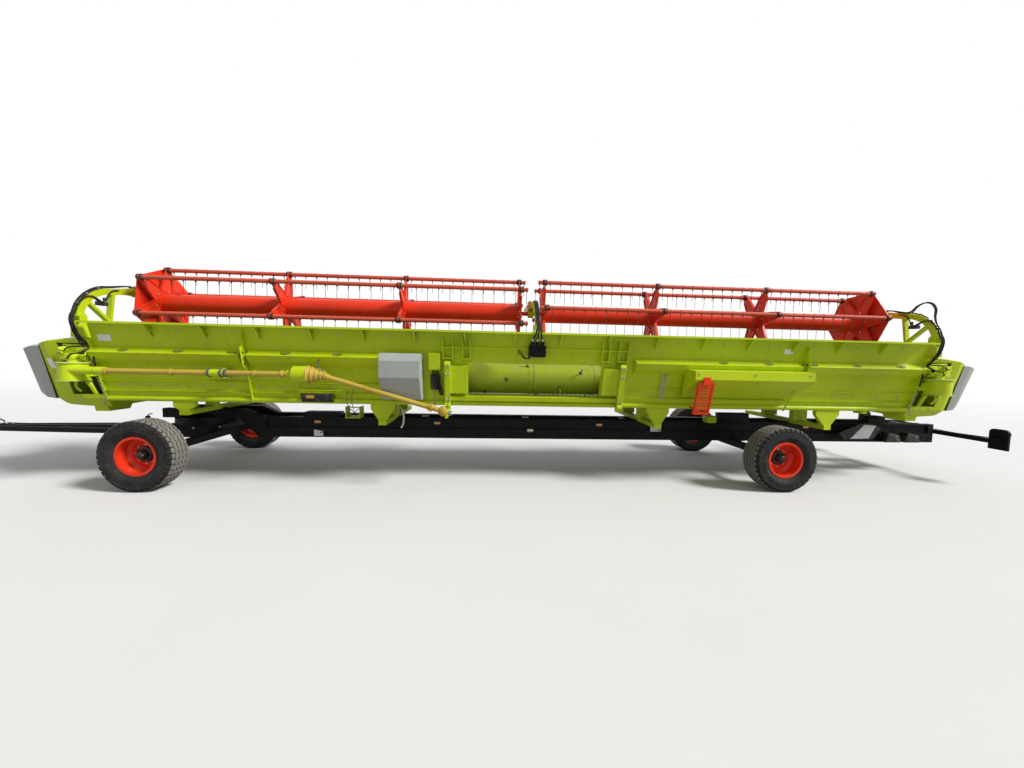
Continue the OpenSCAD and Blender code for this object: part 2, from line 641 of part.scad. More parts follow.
// Ribbon of flat pieces that winds round the tube, standing on it by its inner corners
module flight() let (len = flight_x1 - flight_x0, n = floor(flight_steps * len / flight_lead),
    inner = (auger_tube_r + seat_gap) / cos(180 / flight_steps),
    rings = [for (i = [0:n]) let (x = flight_x0 + flight_lead * i / flight_steps, a = 360 * i / flight_steps)
        for (c = [[inner, 0], [flight_r, 0], [flight_r, flight_w], [inner, flight_w]])
            [x + c[1], c[0] * cos(a), c[0] * sin(a)]],
    sides = [for (i = [0:n - 1], j = [0:3]) let (a = 4 * i + j, b = 4 * i + (j + 1) % 4)
        each [[a, b, b + 4], [a, b + 4, a + 4]]])
    polyhedron(rings, concat([[3, 2, 1, 0]], sides, [[4 * n, 4 * n + 1, 4 * n + 2, 4 * n + 3]]));
module auger() color(dark_lime) at_header() translate([0, auger_y, auger_z]) {
    difference() {
        rod_x(auger_tube_r, -tube_half, tube_half, 0, 0);
        rod_x(auger_tube_r - 6, -tube_half + 6, tube_half - 6, 0, 0);
        // Seam between the two halves of the tube
        difference() {
            rod_x(auger_tube_r + 5, -4, 4, 0, 0);
            rod_x(auger_tube_r - 3, -5, 5, 0, 0);
        }
    }
    rod_x(shaft_r, -half_cut, half_cut, 0, 0);
    both_ends() flight();
    for (i = [0:finger_n - 1]) rotate([150 * i, 0, 0])
        translate([(i - (finger_n - 1) / 2) * 145, 0, auger_tube_r - 10])
            cylinder(r = 8, h = flight_r - auger_tube_r + 8);
}

// Drive line behind the wall
drive_y = -1140;
drive_z = 1415;
drive_x0 = header_x - half_cut + 270;
cone_x = header_x - 2700;
// The grey bearing on the guard tube, and the collar and bell at the joint
mid_bearing = [cone_x - 1185, cone_x - 1000];
bell_x = [cone_x - 300, cone_x - 220, cone_x - 60];
rest_end = [header_x - post_x - 30, -1188, 1000];
rest_r = 62;
module drive_line() color(guard_yellow) {
    difference() {
        rod_x(32, drive_x0, bell_x[0], drive_y, drive_z);
        box([mid_bearing[0], drive_y - 40, drive_z - 40], [mid_bearing[1], drive_y + 40, drive_z + 40]);
    }
    translate([bell_x[2], drive_y, drive_z]) rotate([0, 90, 0]) for (i = [0:3])
        translate([0, 0, i * 50]) cylinder(r1 = 100 - 15 * i, r2 = 78 - 12 * i, h = 51);
    rod([cone_x + 100, drive_y, drive_z - 10], rest_end, 30);
    translate(rest_end) sphere(r = rest_r);
}
module shaft_bearings() {
    color("gray") rod_x(42, mid_bearing[0], mid_bearing[1], drive_y, drive_z);
    color(lime) {
        for (x = [mid_bearing[0] + 80, bell_x[2] - 80]) along_x(x - 12, x + 12) polygon([[lean_y(1330), 1330],
            [drive_y - 20, drive_z - 40], [drive_y - 20, drive_z + 30], [lean_y(1480), 1480]]);
        rod_x(45, bell_x[0], bell_x[1], drive_y, drive_z);
        rod_x(100, bell_x[1] - 1, bell_x[2], drive_y, drive_z);
    }
}

drum_r = 82;
drum_x = half_cut + 145;
drum_y = -1060;
module knife_gearboxes() color(lime) at_header() {
    both_ends() {
        rod_z(drum_r, drum_x, drum_y, 1295, 1495);
        box([half_cut, drum_y + 30, 1340], [drum_x - 20, drum_y + 160, 1450]);
    }
    rod_x(45, -drum_x, drive_x0 - header_x, drive_y, drive_z);
}

guard_x = [header_x - post_x - 790, header_x - post_x - 315];
module guard_outline_side(t) polygon([[lean_y(1700) + 3 * t, 1700 - t], [-1200 + t, 1690 - t],
    [-1240 + t, 1600],
    [-1228 + t, 1400], [-1060 + t, 1120 + t], [lean_y(1120) + 3 * t, 1120 + t]]);
module guard_cover() color("silver") difference() {
    along_x(guard_x[0], guard_x[1]) guard_outline_side(0);
    along_x(guard_x[0] + 4, guard_x[1] - 4) guard_outline_side(4);
}

shelf_x = [header_x + 1980, header_x + 3560];
shelf_top = 1570;
shelf_edge = [1445, 1555];
shelf_y = -1235;
shelf_low = 1190;
module shelf_outline(t) polygon([[lean_y(oct_low) - oct_d - 15 + 8 * t, shelf_top - t],
    [shelf_y + t, shelf_edge[1] - t], [shelf_y + t, shelf_edge[0] + t],
        [lean_y(shelf_low) - 30 + 2 * t, shelf_low + t],
    [lean_y(shelf_low) - 29 + 8 * t, shelf_low + t], [lean_y(oct_low) - 29 + 8 * t, oct_low - 30],
    [lean_y(oct_low) - 2 + 8 * t, oct_low - 1], [lean_y(oct_low) - oct_d - 2 + 8 * t, oct_low + 60]]);
module side_shelf() color(lime) difference() {
    along_x(shelf_x[0], shelf_x[1]) shelf_outline(0);
    along_x(shelf_x[0] + 6, shelf_x[1] - 6) shelf_outline(5);
}

// Slatted guard that hangs from the shelf
slat_x = [shelf_x[0] + 45, shelf_x[0] + 255];
slat_z = [990, 1405];
slat_off = 300;
slat_n = 9;
slat_pitch = (slat_z[1] - slat_z[0] - 60) / slat_n;
module folding_guard() color(reel_red) {
    difference() {
        along_x(slat_x[0], slat_x[1]) polygon([[lean_y(slat_z[1]) - slat_off, slat_z[1]],
            [lean_y(slat_z[1]) - slat_off - 32, slat_z[1]], [lean_y(slat_z[0]) - slat_off - 32, slat_z[0]],
            [lean_y(slat_z[0]) - slat_off, slat_z[0]]]);
        for (i = [0:slat_n - 1]) let (z = slat_z[0] + 40 + slat_pitch * i)
            box([slat_x[0] + 22, wall_y - slat_off - 100, z], [slat_x[1] - 22, 0, z + slat_pitch - 24]);
    }
    // Strap on the shelf's lip and strut to the wall's foot
    along_x(slat_x[0] + 60, slat_x[1] - 60)
        polygon([[shelf_y, shelf_edge[0] + 30], [shelf_y - 8, shelf_edge[0] + 30],
        [shelf_y - 8, 1380], [shelf_y + 15, 1380], [shelf_y + 15, 1400], [shelf_y, 1410]]);
    along_x(slat_x[0] + 90, slat_x[1] - 90)
        polygon([[lean_y(1010) - slat_off - 10, 1010], [foot_y - 54, 1072],
        [foot_y - 54, 1052], [lean_y(1000) - slat_off - 10, 992]]);
}

// Hinged side covers
cover_gap = 6;
cover_hinge_y = 410;
cover_front = cover_hinge_y - 17;
cover_hinge_x = rim_out + 18;
cover_pin_r = 7;
cover_leaf_z = [1118, 1260];
leaf_h = 22;
module cover_outline(g, x) translate([x, 0, 0]) rotate([90, 0, 90]) linear_extrude(2)
    polygon([[-1005 + g, 1690 - g / 2], [-845 + g, 1050 + g], [300 - g, 1070 + g],
        [cover_front - g, 1100 + g],
        [cover_front - g, 1300 - g], [-560, 1715 - g], [-965 + g, 1715 - g]]);
module cover(s) color("silver") at_header() mirror([s > 0 ? 0 : 1, 0, 0]) {
    difference() {
        union() {
            rod_z(12, cover_hinge_x, cover_hinge_y, cover_leaf_z[0] + leaf_h + 1, cover_leaf_z[1] - 1);
            box([cover_hinge_x - 6, cover_front - 5, cover_leaf_z[0] + leaf_h + 1],
                [cover_hinge_x + 6, cover_hinge_y - 6, cover_leaf_z[1] - 1]);
        }
        rod_z(cover_pin_r + seat_gap, cover_hinge_x, cover_hinge_y, cover_leaf_z[0],
            cover_leaf_z[1] + leaf_h);
    }
    difference() {
        hull() {
            cover_outline(0, rim_out + cover_gap);
            cover_outline(15, rim_out + 120);
            cover_outline(70, cover_out - 2);
        }
        hull() {
            cover_outline(6, rim_out + cover_gap - 1);
            cover_outline(21, rim_out + 118);
            cover_outline(76, cover_out - 8);
        }
    }
}
module cover_left() cover(-1);
module cover_right() cover(1);

// Reel arms
arm_x = half_cut + 110;
arm_low = 2390;
arm_high = 2490;
arm_front = 620;
arm_xs = [-arm_x, 0, arm_x];
// Centre and radii of the arch at an arm's foot
arch = [-620, 1980];
arch_out = 450;
arch_in = 375;
lift_low = [-620, 1300];
lift_top = [-655, 1990];
arm_path = concat(arc(arch, arch_out, 171.7, 90, 8),
    [[-330, arm_high], [arm_front, arm_high], [arm_front, arm_low],
    [-400, arm_low]], arc(arch, arch_in, 90, 170, 8));
arm_wall = 8;
front_i = 10;
cheek_r = 38;
cheek_hole_r = 24;
module reel_arms() color(lime) at_header() for (x = arm_xs) {
    difference() {
        along_x(x - arm_t / 2, x + arm_t / 2) polygon(arm_path);
        along_x(x - arm_t / 2 + arm_wall, x + arm_t / 2 - arm_wall)
            polygon([for (i = [0:len(arm_path) - 1]) mitre(arm_path, i, -arm_wall)
                + (i == front_i || i == front_i + 1 ? [-arm_wall, 0] : [0, 0])]);
    }
    rod_x(44, x - arm_t / 2, x + arm_t / 2, pivot_y, pivot_z);
    rod_x(pivot_r, x - arm_t / 2 - 16, x + arm_t / 2 + 16, pivot_y, pivot_z);
    if (x != 0) difference() {
        union() {
            // Strut and brace from the arch down to the lift pin
            along_x(x - arm_t / 2, x + arm_t / 2) {
                polygon([[-627, 2358], [-590, 2358], [-640, 2020], [-672, 2020]]);
                polygon([[-930, 2222], [-905, 2246], [-640, 2014], [-668, 1996]]);
            }
            rod_x(cheek_r, x - arm_t / 2, x + arm_t / 2, lift_top[0], lift_top[1]);
        }
        rod_x(cheek_r + 6, x - 20, x + 20, lift_top[0], lift_top[1]);
        rod_x(cheek_hole_r, x - 100, x + 100, lift_top[0], lift_top[1]);
    }
}

carriage_t = 8;
slide_gap = 0.4;
bearing_r = 60;
disc_r = 150;
disc_tube_r = 48;
module reel_carriages() color(lime) at_header() difference() {
    union() {
        for (x = arm_xs) {
            difference() {
                box([x - arm_t / 2 - slide_gap - carriage_t, reel_y - 120, arm_low - slide_gap - carriage_t],
                    [x + arm_t / 2 + slide_gap + carriage_t, reel_y + 120,
                        arm_high + slide_gap + carriage_t]);
                box([x - arm_t / 2 - slide_gap, reel_y - 130, arm_low - slide_gap],
                    [x + arm_t / 2 + slide_gap, reel_y + 130, arm_high + slide_gap]);
            }
            rod_x(bearing_r, x - arm_t / 2 - 9, x + arm_t / 2 + 9, reel_y, reel_z);
        }
        // Discs off the reel axis that carry the control rings
        both_ends() {
            rod_x(disc_r, ring_x, ring_x + ring_t, reel_y + ring_offset, reel_z);
            rod_x(disc_tube_r, ring_x + ring_t - 1, arm_x - arm_t / 2 - 8, reel_y, reel_z);
        }
    }
    for (x = arm_xs) rod_x(shaft_r + seat_gap, x - 400, x + 400, reel_y, reel_z);
}

// Reel halves. The outline of a star, in (y, z)
star_n = 4;
star_first = 175;
// Whole tine pitches from star to star, so that the tines pass between them
star_pitch = tine_pitch * floor((half_cut - 190 - star_first) / (star_n - 1) / tine_pitch);
star_last = star_first + star_pitch * (star_n - 1);
star_xs = [for (i = [0:star_n - 1]) star_first + star_pitch * i];
phases = [7.3, 34.3];
bar_n = 6;
star_t = 12;
function at_bar(k, phase) = reel_r * [sin(phase + 60 * k), cos(phase + 60 * k)];
module reel(s) color(reel_red) at_header() mirror([s > 0 ? 0 : 1, 0, 0]) translate([0, reel_y, reel_z]) {
    phase = phases[s > 0 ? 1 : 0];
    difference() {
        rod_x(reel_tube_r, star_first - 20, star_last + 20, 0, 0);
        rod_x(reel_tube_r - 5, star_first - 10, star_last + 10, 0, 0);
    }
    rod_x(shaft_r, 4, star_first, 0, 0);
    rod_x(shaft_r, star_last, arm_x + 30, 0, 0);
    for (x = star_xs) {
        along_x(x - star_t / 2, x + star_t / 2) difference() {
            union() for (k = [0:bar_n - 1]) rotate(-phase - 60 * k) {
                star_leg(0);
                polygon([[-58, reel_r - 71], [58, reel_r - 71], [42, reel_r - 10], [-42, reel_r - 10]]);
                translate([0, reel_r]) circle(r = 44);
            }
            for (k = [0:bar_n - 1]) translate(at_bar(k, phase)) circle(r = bar_r + seat_gap);
        }
        // Pressed rims along both edges of each leg
        along_x(x - star_w / 2, x + star_w / 2) for (k = [0:bar_n - 1]) rotate(-phase - 60 * k) difference() {
            star_leg(0);
            star_leg(7);
        }
    }
}
module star_leg(t) polygon([[t - 105, 95 - 2 * t], [105 - t, 95 - 2 * t], [58 - t, reel_r - 70 + 2 * t],
    [t - 58, reel_r - 70 + 2 * t]]);
module reel_left() reel(-1);
module reel_right() reel(1);

tine_x0 = star_first - tine_pitch / 2;
bar_x0 = tine_x0 - 20;
bar_x1 = star_last + 40;
crank_t = 12;
ring_x = bar_x1 + 20;
ring_t = 12;
crank_pin_r = 9;
tine_r = 3;
tine_n = floor((bar_x1 - tine_x0 - 30) / tine_pitch);
module tine_bar(s, k) color(reel_red) at_header() mirror([s > 0 ? 0 : 1, 0, 0])
    translate([0, reel_y, reel_z] + concat([0], at_bar(k, phases[s > 0 ? 1 : 0]))) {
        difference() {
            rod_x(bar_r, bar_x0, bar_x1, 0, 0);
            rod_x(bar_r - 3, bar_x0 + 4, bar_x1 - crank_t, 0, 0);
        }
        for (i = [0:tine_n]) translate([tine_x0 + tine_pitch * i, 0, -bar_r - tine_len])
            cylinder(r = tine_r, h = tine_len + 1.5, $fn = 6);
        along_x(bar_x1 - crank_t, bar_x1) union() {
            circle(r = bar_r + 7);
            translate([0, -20]) square([ring_offset, 40]);
            translate([ring_offset, 0]) circle(r = 20);
        }
        rod_x(crank_pin_r, bar_x1 - 2, ring_x + ring_t, ring_offset, 0);
    }
module bar_left_1() tine_bar(-1, 0);
module bar_left_2() tine_bar(-1, 1);
module bar_left_3() tine_bar(-1, 2);
module bar_left_4() tine_bar(-1, 3);
module bar_left_5() tine_bar(-1, 4);
module bar_left_6() tine_bar(-1, 5);
module bar_right_1() tine_bar(1, 0);
module bar_right_2() tine_bar(1, 1);
module bar_right_3() tine_bar(1, 2);
module bar_right_4() tine_bar(1, 3);
module bar_right_5() tine_bar(1, 4);
module bar_right_6() tine_bar(1, 5);

// Control ring that holds the cranks of the tine bars
module ring(s) color(reel_red) at_header() mirror([s > 0 ? 0 : 1, 0, 0])
    translate([0, reel_y + ring_offset, reel_z]) {
    phase = phases[s > 0 ? 1 : 0];
    along_x(ring_x, ring_x + ring_t) difference() {
        polygon([for (k = [0:bar_n - 1]) at_bar(k, phase) * (reel_r + 40) / reel_r]);
        circle(r = disc_r + seat_gap);
        for (k = [0:bar_n - 1]) translate(at_bar(k, phase)) circle(r = crank_pin_r + seat_gap);
    }
}
module ring_left() ring(-1);
module ring_right() ring(1);

// Lift cylinders under the outer arms
barrel_r = 30;
barrel_len = 480;
barrel_low = 38;
rod_r = 14;
lift_vec = lift_top - lift_low;
lift_len = norm(lift_vec);
lift_tilt = atan2(-lift_vec[0], lift_vec[1]);
lift_pin_r = 12;
module at_lift(x) translate([x, lift_low[0], lift_low[1]]) rotate([lift_tilt, 0, 0]) children();
module lift_barrels() color(black_paint) at_header() for (x = [-arm_x, arm_x]) at_lift(x) difference() {
    union() {
        rod_x(24, -18, 18, 0, 0);
        rod_z(17, 0, 0, 0, barrel_low);
        rod_z(barrel_r, 0, 0, barrel_low - 6, barrel_len);
    }
    rod_x(lift_pin_r + seat_gap, -40, 40, 0, 0);
    rod_z(rod_r + seat_gap, 0, 0, barrel_low, barrel_len + 1);
}
module lift_rods() color("silver") at_header() for (x = [-arm_x, arm_x]) at_lift(x) {
    rod_z(rod_r, 0, 0, barrel_len - 14, lift_len);
    // Head of the rod and the pin that it carries between the cheeks
    rod_x(24, -17, 17, 0, lift_len);
    rod_x(lift_pin_r, -36, 36, 0, lift_len);
}

trailer_frame();
rear_axle();
light_bar();
header_supports();
front_bogie();
drawbar();
tyre_front_near();
tyre_front_far();
tyre_rear_near();
tyre_rear_far();
rim_front_near();
rim_front_far();
rim_rear_near();
rim_rear_far();
rear_wall();
octagon_beams();
feeder_frame();
header_floor();
end_box_left();
end_box_right();
dividers();
cutterbar_guards();
knife();
auger();
drive_line();
shaft_bearings();
knife_gearboxes();
guard_cover();
side_shelf();
folding_guard();
coupler_block();
cover_left();
cover_right();
reel_arms();
reel_carriages();
lift_barrels();
lift_rods();
reel_left();
reel_right();
bar_left_1();
bar_left_2();
bar_left_3();
bar_left_4();
bar_left_5();
bar_left_6();
bar_right_1();
bar_right_2();
bar_right_3();
bar_right_4();
bar_right_5();
bar_right_6();
ring_left();
ring_right();
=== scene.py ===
"""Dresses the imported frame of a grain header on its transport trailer.

The frame carries the shapes and the motion. This file adds the finishes and the fine parts: tread blocks, bolts,
glasses of the lamps, hoses, chains, plates and trim. Lengths are in metres, in the frame's own coordinates.
"""

import json
from math import atan2, cos, hypot, pi, radians, sin, tau

import bmesh
import bpy
from bpy.props import FloatProperty, FloatVectorProperty, IntProperty, PointerProperty
from mathutils import Matrix, Vector


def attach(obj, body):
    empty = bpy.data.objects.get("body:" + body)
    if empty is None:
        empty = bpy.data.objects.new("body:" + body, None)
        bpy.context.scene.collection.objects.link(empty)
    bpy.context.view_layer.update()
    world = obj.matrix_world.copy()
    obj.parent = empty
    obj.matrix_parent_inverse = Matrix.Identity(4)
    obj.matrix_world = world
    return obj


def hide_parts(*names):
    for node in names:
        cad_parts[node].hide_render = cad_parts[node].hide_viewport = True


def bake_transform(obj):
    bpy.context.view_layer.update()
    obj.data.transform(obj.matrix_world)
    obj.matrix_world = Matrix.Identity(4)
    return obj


bl_info = {
    "name": "Header Dresser",
    "version": (1, 0, 0),
    "blender": (4, 5, 0),
    "location": "View3D > Sidebar > Header",
    "description": "Finishes and fine parts of a grain header on its trailer",
    "category": "Object",
}

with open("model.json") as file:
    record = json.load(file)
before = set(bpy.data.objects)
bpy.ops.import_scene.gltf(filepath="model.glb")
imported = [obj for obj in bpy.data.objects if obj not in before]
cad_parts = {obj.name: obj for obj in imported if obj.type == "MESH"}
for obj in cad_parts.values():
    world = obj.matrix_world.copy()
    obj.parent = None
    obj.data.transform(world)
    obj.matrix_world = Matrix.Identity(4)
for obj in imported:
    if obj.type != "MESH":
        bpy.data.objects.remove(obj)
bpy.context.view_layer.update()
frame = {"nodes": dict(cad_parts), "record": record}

# Places and sizes of the frame that the fine parts follow

HEADER_X = 0.72
HALF_CUT = 5.32
AXLE_X, WHEEL_Y, TYRE_R = 3.97, 1.105, 0.423
AXLES = {
    "front_near": (-AXLE_X, -WHEEL_Y), "front_far": (-AXLE_X, WHEEL_Y),
    "rear_near": (AXLE_X, -WHEEL_Y), "rear_far": (AXLE_X, WHEEL_Y),
}
WALL_Y, WALL_TOP, WALL_LEAN = -1.05, 1.985, 0.25
GUSSET_FIRST, GUSSET_PITCH = 0.29, 0.62
REEL_Y, REEL_Z, REEL_R = -0.17, 2.325, 0.47
PHASES = {"left": 7.3, "right": 34.3}
STARS = (0.175, 1.825, 3.475, 5.125)
TINES, TINE_PITCH = 34, 0.15
GUARDS, GUARD_PITCH = 139, 0.0762
AUGER_Y, AUGER_Z, AUGER_R = -0.535, 1.38, 0.203
ARM_X, BEND_Y, BEND_Z = 5.43, -0.62, 1.98
SHAFT_Y, SHAFT_Z = -1.14, 1.415
DRUM_X, DRUM_Y = HEADER_X - 5.465, -1.06
RAIL_Y, WEB_Y, BOGIE_Y, SLEWING_R = 0.25, 0.222, 0.3305, 0.365
SIDES = (("left", -1), ("right", 1))
ALONG, UP, WALL_OUT = (1, 0, 0), (0, 0, 1), (0, -1, -WALL_LEAN)


def lean(z):
    """Where the face of the leaning rear wall stands at a height."""
    return WALL_Y + (WALL_TOP - z) * WALL_LEAN


def wall_spot(x, z, off=0.001):
    """A bolt's spot on the rear wall, off behind its face."""
    return (x, lean(z) - off, z), WALL_OUT


def bar_place(side, k):
    """Middle of a tine bar in (y, z)."""
    turn = radians(PHASES[side] + 60 * k)
    return REEL_Y + REEL_R * sin(turn), REEL_Z + REEL_R * cos(turn)


def round_x(x, y, z, away, turn):
    """A point round a line along x, turn degrees up from level, and the way out from the line there."""
    out = Vector((0, cos(radians(turn)), sin(radians(turn))))
    return Vector((x, y, z)) + out * away, out


def colour(name, description, value):
    return FloatVectorProperty(name=name, description=description, subtype="COLOR", size=3, min=0, max=1, default=value)


def length(name, description, value):
    return FloatProperty(name=name, description=description, subtype="DISTANCE", unit="LENGTH", min=0, default=value)


class HeaderColours(bpy.types.PropertyGroup):
    lime: colour("Lime paint", "Paint of the wall, arms and boxes", (0.55, 0.68, 0.004))
    # Lime of the trough and the auger, darkened as painted shade of the inside of the header; its chips are wear from
    # the crop.
    green: colour("Worn green", "Paint of the trough and the auger, rubbed by the crop", (0.30, 0.38, 0.010))
    red: colour("Red paint", "Paint of the rims and the reel", (0.84, 0.042, 0.010))
    black: colour("Black paint", "Paint of the trailer", (0.0055, 0.006, 0.007))
    cover: colour("Cover grey", "Moulded side covers", (0.42, 0.44, 0.41))
    guard: colour("Guard yellow", "Plastic guards of the drive shaft", (0.52, 0.36, 0.035))
    rubber: colour("Rubber", "Tyres", (0.013, 0.013, 0.013))
    steel: colour("Bare steel", "Knife, bolts and pins", (0.42, 0.42, 0.41))
    dust: colour("Field dust", "Dust that lies on low and level faces", (0.36, 0.30, 0.20))
    floor: colour("Floor", "Floor round the machine", (0.74, 0.73, 0.71))


class HeaderSizes(bpy.types.PropertyGroup):
    tread_blocks: IntProperty(name="Tread blocks", description="Blocks round a tyre's shoulder", min=12, default=38)
    tread_depth: length("Tread depth", "Height of a tread block", 0.011)
    bolt_head: length("Bolt head", "Distance across the flats of a wheel bolt", 0.024)


# Shader building


class Shade:
    """A value or a colour in a material's tree. Sums and products of it are Math nodes."""

    def __init__(self, paint, socket):
        self.paint, self.socket = paint, socket


    def math(self, operation, *others):
        return self.paint.node("ShaderNodeMath", {"operation": operation}, [self, *others])

    def __add__(self, other):
        return self.math("ADD", other)

    def __sub__(self, other):
        return self.math("SUBTRACT", other)

    def __mul__(self, other):
        return self.math("MULTIPLY", other)

    def above(self, low, high):
        """0 under low, 1 over high, and smooth between."""
        return self.paint.node("ShaderNodeMapRange", {"interpolation_type": "SMOOTHSTEP"}, [self, low, high])

    def spread(self, low, high):
        """The value's 0 to 1 stretched to low to high."""
        return self * (high - low) + low

    def mix(self, low, high):
        """Colour low where the value is 0, and colour high where it is 1."""
        return self.paint.node("ShaderNodeMix", {"data_type": "RGBA"}, {"Factor": self, 6: low, 7: high}, output=2)


class Tree:
    """The nodes of a material or of the world."""

    def __init__(self, tree):
        self.tree = tree

    def node(self, kind, settings=None, inputs=(), output=0):
        made = self.tree.nodes.new(kind)
        for key, value in (settings or {}).items():
            setattr(made, key, value)
        for key, value in (inputs.items() if isinstance(inputs, dict) else enumerate(inputs)):
            self.feed(made.inputs[key], value)
        return Shade(self, made.outputs[output])

    def feed(self, socket, value):
        if isinstance(value, Shade):
            self.tree.links.new(value.socket, socket)
        elif socket.type == "RGBA":
            socket.default_value = (*value[:3], 1)
        else:
            socket.default_value = value


class Paint(Tree):
    """A procedural material. Its patterns follow Object coordinates, in metres."""

    def __init__(self, name, metallic=0.0, coat=0.0, gloss=0.5):
        self.material = bpy.data.materials.new(name)
        self.material.use_nodes = True
        super().__init__(self.material.node_tree)
        self.shader = self.tree.nodes["Principled BSDF"]
        self.shader.inputs["Metallic"].default_value = metallic
        self.shader.inputs["Coat Weight"].default_value = coat
        self.shader.inputs["Specular IOR Level"].default_value = gloss
        self.place = self.node("ShaderNodeTexCoord", output="Object")

    def noise(self, scale, detail=3, stretch=(1, 1, 1)):
        place = self.node("ShaderNodeMapping", inputs={"Vector": self.place, "Scale": stretch})
        return self.node("ShaderNodeTexNoise", inputs={"Vector": place, "Scale": scale, "Detail": detail})

    def axis(self, index):
        return self.node("ShaderNodeSeparateXYZ", inputs=[self.place], output=index)

    def upward(self):
        """1 on faces that look up."""
        geometry = self.node("ShaderNodeNewGeometry", output="Normal")
        return self.node("ShaderNodeSeparateXYZ", inputs=[geometry], output=2).above(0.55, 0.95)

    def bump(self, height, strength, distance):
        bump = self.node("ShaderNodeBump", inputs={"Height": height, "Strength": strength, "Distance": distance})
        self.feed(self.shader.inputs["Normal"], bump)

    def finish(self, base, roughness):
        self.feed(self.shader.inputs["Base Color"], base)
        self.feed(self.shader.inputs["Roughness"], roughness)
        return self.material


def shaded(tint, factor):
    return tuple(c * factor for c in tint)


def painted(name, tint, worn, rough=0.38, dust=0.22, chips=0.70, gloss=0.3, over=None):
    """Sprayed paint on steel: faded patches, dust on level faces, run-down streaks, and chips that show what is under.

    What over returns, such as a second colour, goes on top of the paint.
    """
    colours = bpy.context.scene.header_colours
    paint = Paint(name, gloss=gloss)
    fade = paint.noise(0.9, 4)
    streak = paint.noise(3.0, 4, stretch=(4, 4, 0.35))
    grime = paint.noise(11, 5)
    fleck = paint.noise(46, 3)
    base = fade.above(0.35, 0.7).mix(tint, shaded(tint, 0.82))
    base = streak.above(0.52, 0.78).spread(0, 0.35).mix(base, shaded(tint, 0.62))
    soil = paint.upward().spread(0.25, 1) * grime.above(0.40, 0.72) * dust
    base = soil.mix(base, colours.dust)
    chip = fleck.above(chips, chips + 0.03) * grime.above(0.5, 0.6)
    base = chip.mix(base, worn)
    if over:
        base = over(paint, base)
    paint.bump(paint.noise(160, 2) + chip * -2.0, 0.06, 0.002)
    return paint.finish(base, soil + grime.spread(rough - 0.06, rough + 0.10))


def wheel_radius(paint):
    """Distance from the nearest axle."""
    along, up = paint.axis(0).math("ABSOLUTE") - AXLE_X, paint.axis(2) - TYRE_R
    return (along * along + up * up).math("SQRT")


def black_hub(paint, base):
    return wheel_radius(paint).above(0.094, 0.097).mix((0.012, 0.012, 0.013), base)


def dark_tines(side, k):
    """Steel tines under a tine bar."""
    height = bar_place(side, k)[1]
    return lambda paint, base: paint.axis(2).above(height - 0.033, height - 0.029).mix((0.045, 0.040, 0.035), base)


def moulded(name, tint, rough=0.42, dust=0.2):
    """Moulded plastic: fine grain, rubbed sheen and a film of dust."""
    colours = bpy.context.scene.header_colours
    paint = Paint(name)
    cloud = paint.noise(2.2, 4)
    grime = paint.noise(14, 4)
    scuff = paint.noise(7, 4, stretch=(1, 5, 5))
    base = cloud.above(0.35, 0.7).mix(tint, shaded(tint, 0.88))
    base = (grime.above(0.45, 0.75) * dust).mix(base, colours.dust)
    base = scuff.above(0.63, 0.72).spread(0, 0.3).mix(base, shaded(tint, 0.6))
    paint.bump(paint.noise(420, 2), 0.08, 0.001)
    return paint.finish(base, cloud.spread(rough - 0.06, rough + 0.12))


def bare_metal(name, tint, rough=0.3, rust=0.25):
    """Steel rubbed bright, with a grain along the header and rust where it rests."""
    paint = Paint(name, metallic=1.0)
    grain = paint.noise(30, 4, stretch=(1, 12, 12))
    stain = paint.noise(9, 5)
    spot = stain.above(0.52, 0.72) * rust
    base = grain.above(0.3, 0.7).mix(shaded(tint, 0.8), tint)
    base = spot.mix(base, (0.16, 0.075, 0.03))
    paint.feed(paint.shader.inputs["Metallic"], spot.spread(1.0, 0.1))
    paint.bump(grain, 0.05, 0.001)
    return paint.finish(base, spot * 0.5 + grain.spread(rough - 0.08, rough + 0.12))


def rubbery(name, tint, dust=0.16, worn=1.0):
    """Vulcanised rubber: fine pores, grey bloom, dried soil in the hollows and a rubbed crown."""
    colours = bpy.context.scene.header_colours
    paint = Paint(name, gloss=0.25)
    bloom = paint.noise(5, 4)
    soil = paint.noise(22, 5)
    base = bloom.above(0.35, 0.7).mix(tint, tuple(c * 1.5 + 0.006 for c in tint))
    base = (soil.above(0.45, 0.7) * dust).mix(base, shaded(colours.dust, 0.4))
    crown = wheel_radius(paint).above(0.414, 0.419) * soil.spread(0.35, 0.9) * worn
    base = crown.mix(base, (0.30, 0.275, 0.24))
    paint.bump(paint.noise(300, 3) + soil * 0.8, 0.12, 0.0015)
    return paint.finish(base, bloom.spread(0.62, 0.85))


def lens(name, tint):
    """Ribbed lamp lens with a film of dust."""
    colours = bpy.context.scene.header_colours
    paint = Paint(name, coat=1.0)
    ribs = paint.node("ShaderNodeTexWave", {"bands_direction": "Z"}, {"Vector": paint.place, "Scale": 60.0})
    dirt = paint.noise(25, 4)
    base = (dirt.above(0.45, 0.75) * 0.25).mix(tint, colours.dust)
    paint.bump(ribs, 0.3, 0.002)
    return paint.finish(base, dirt.spread(0.08, 0.22))


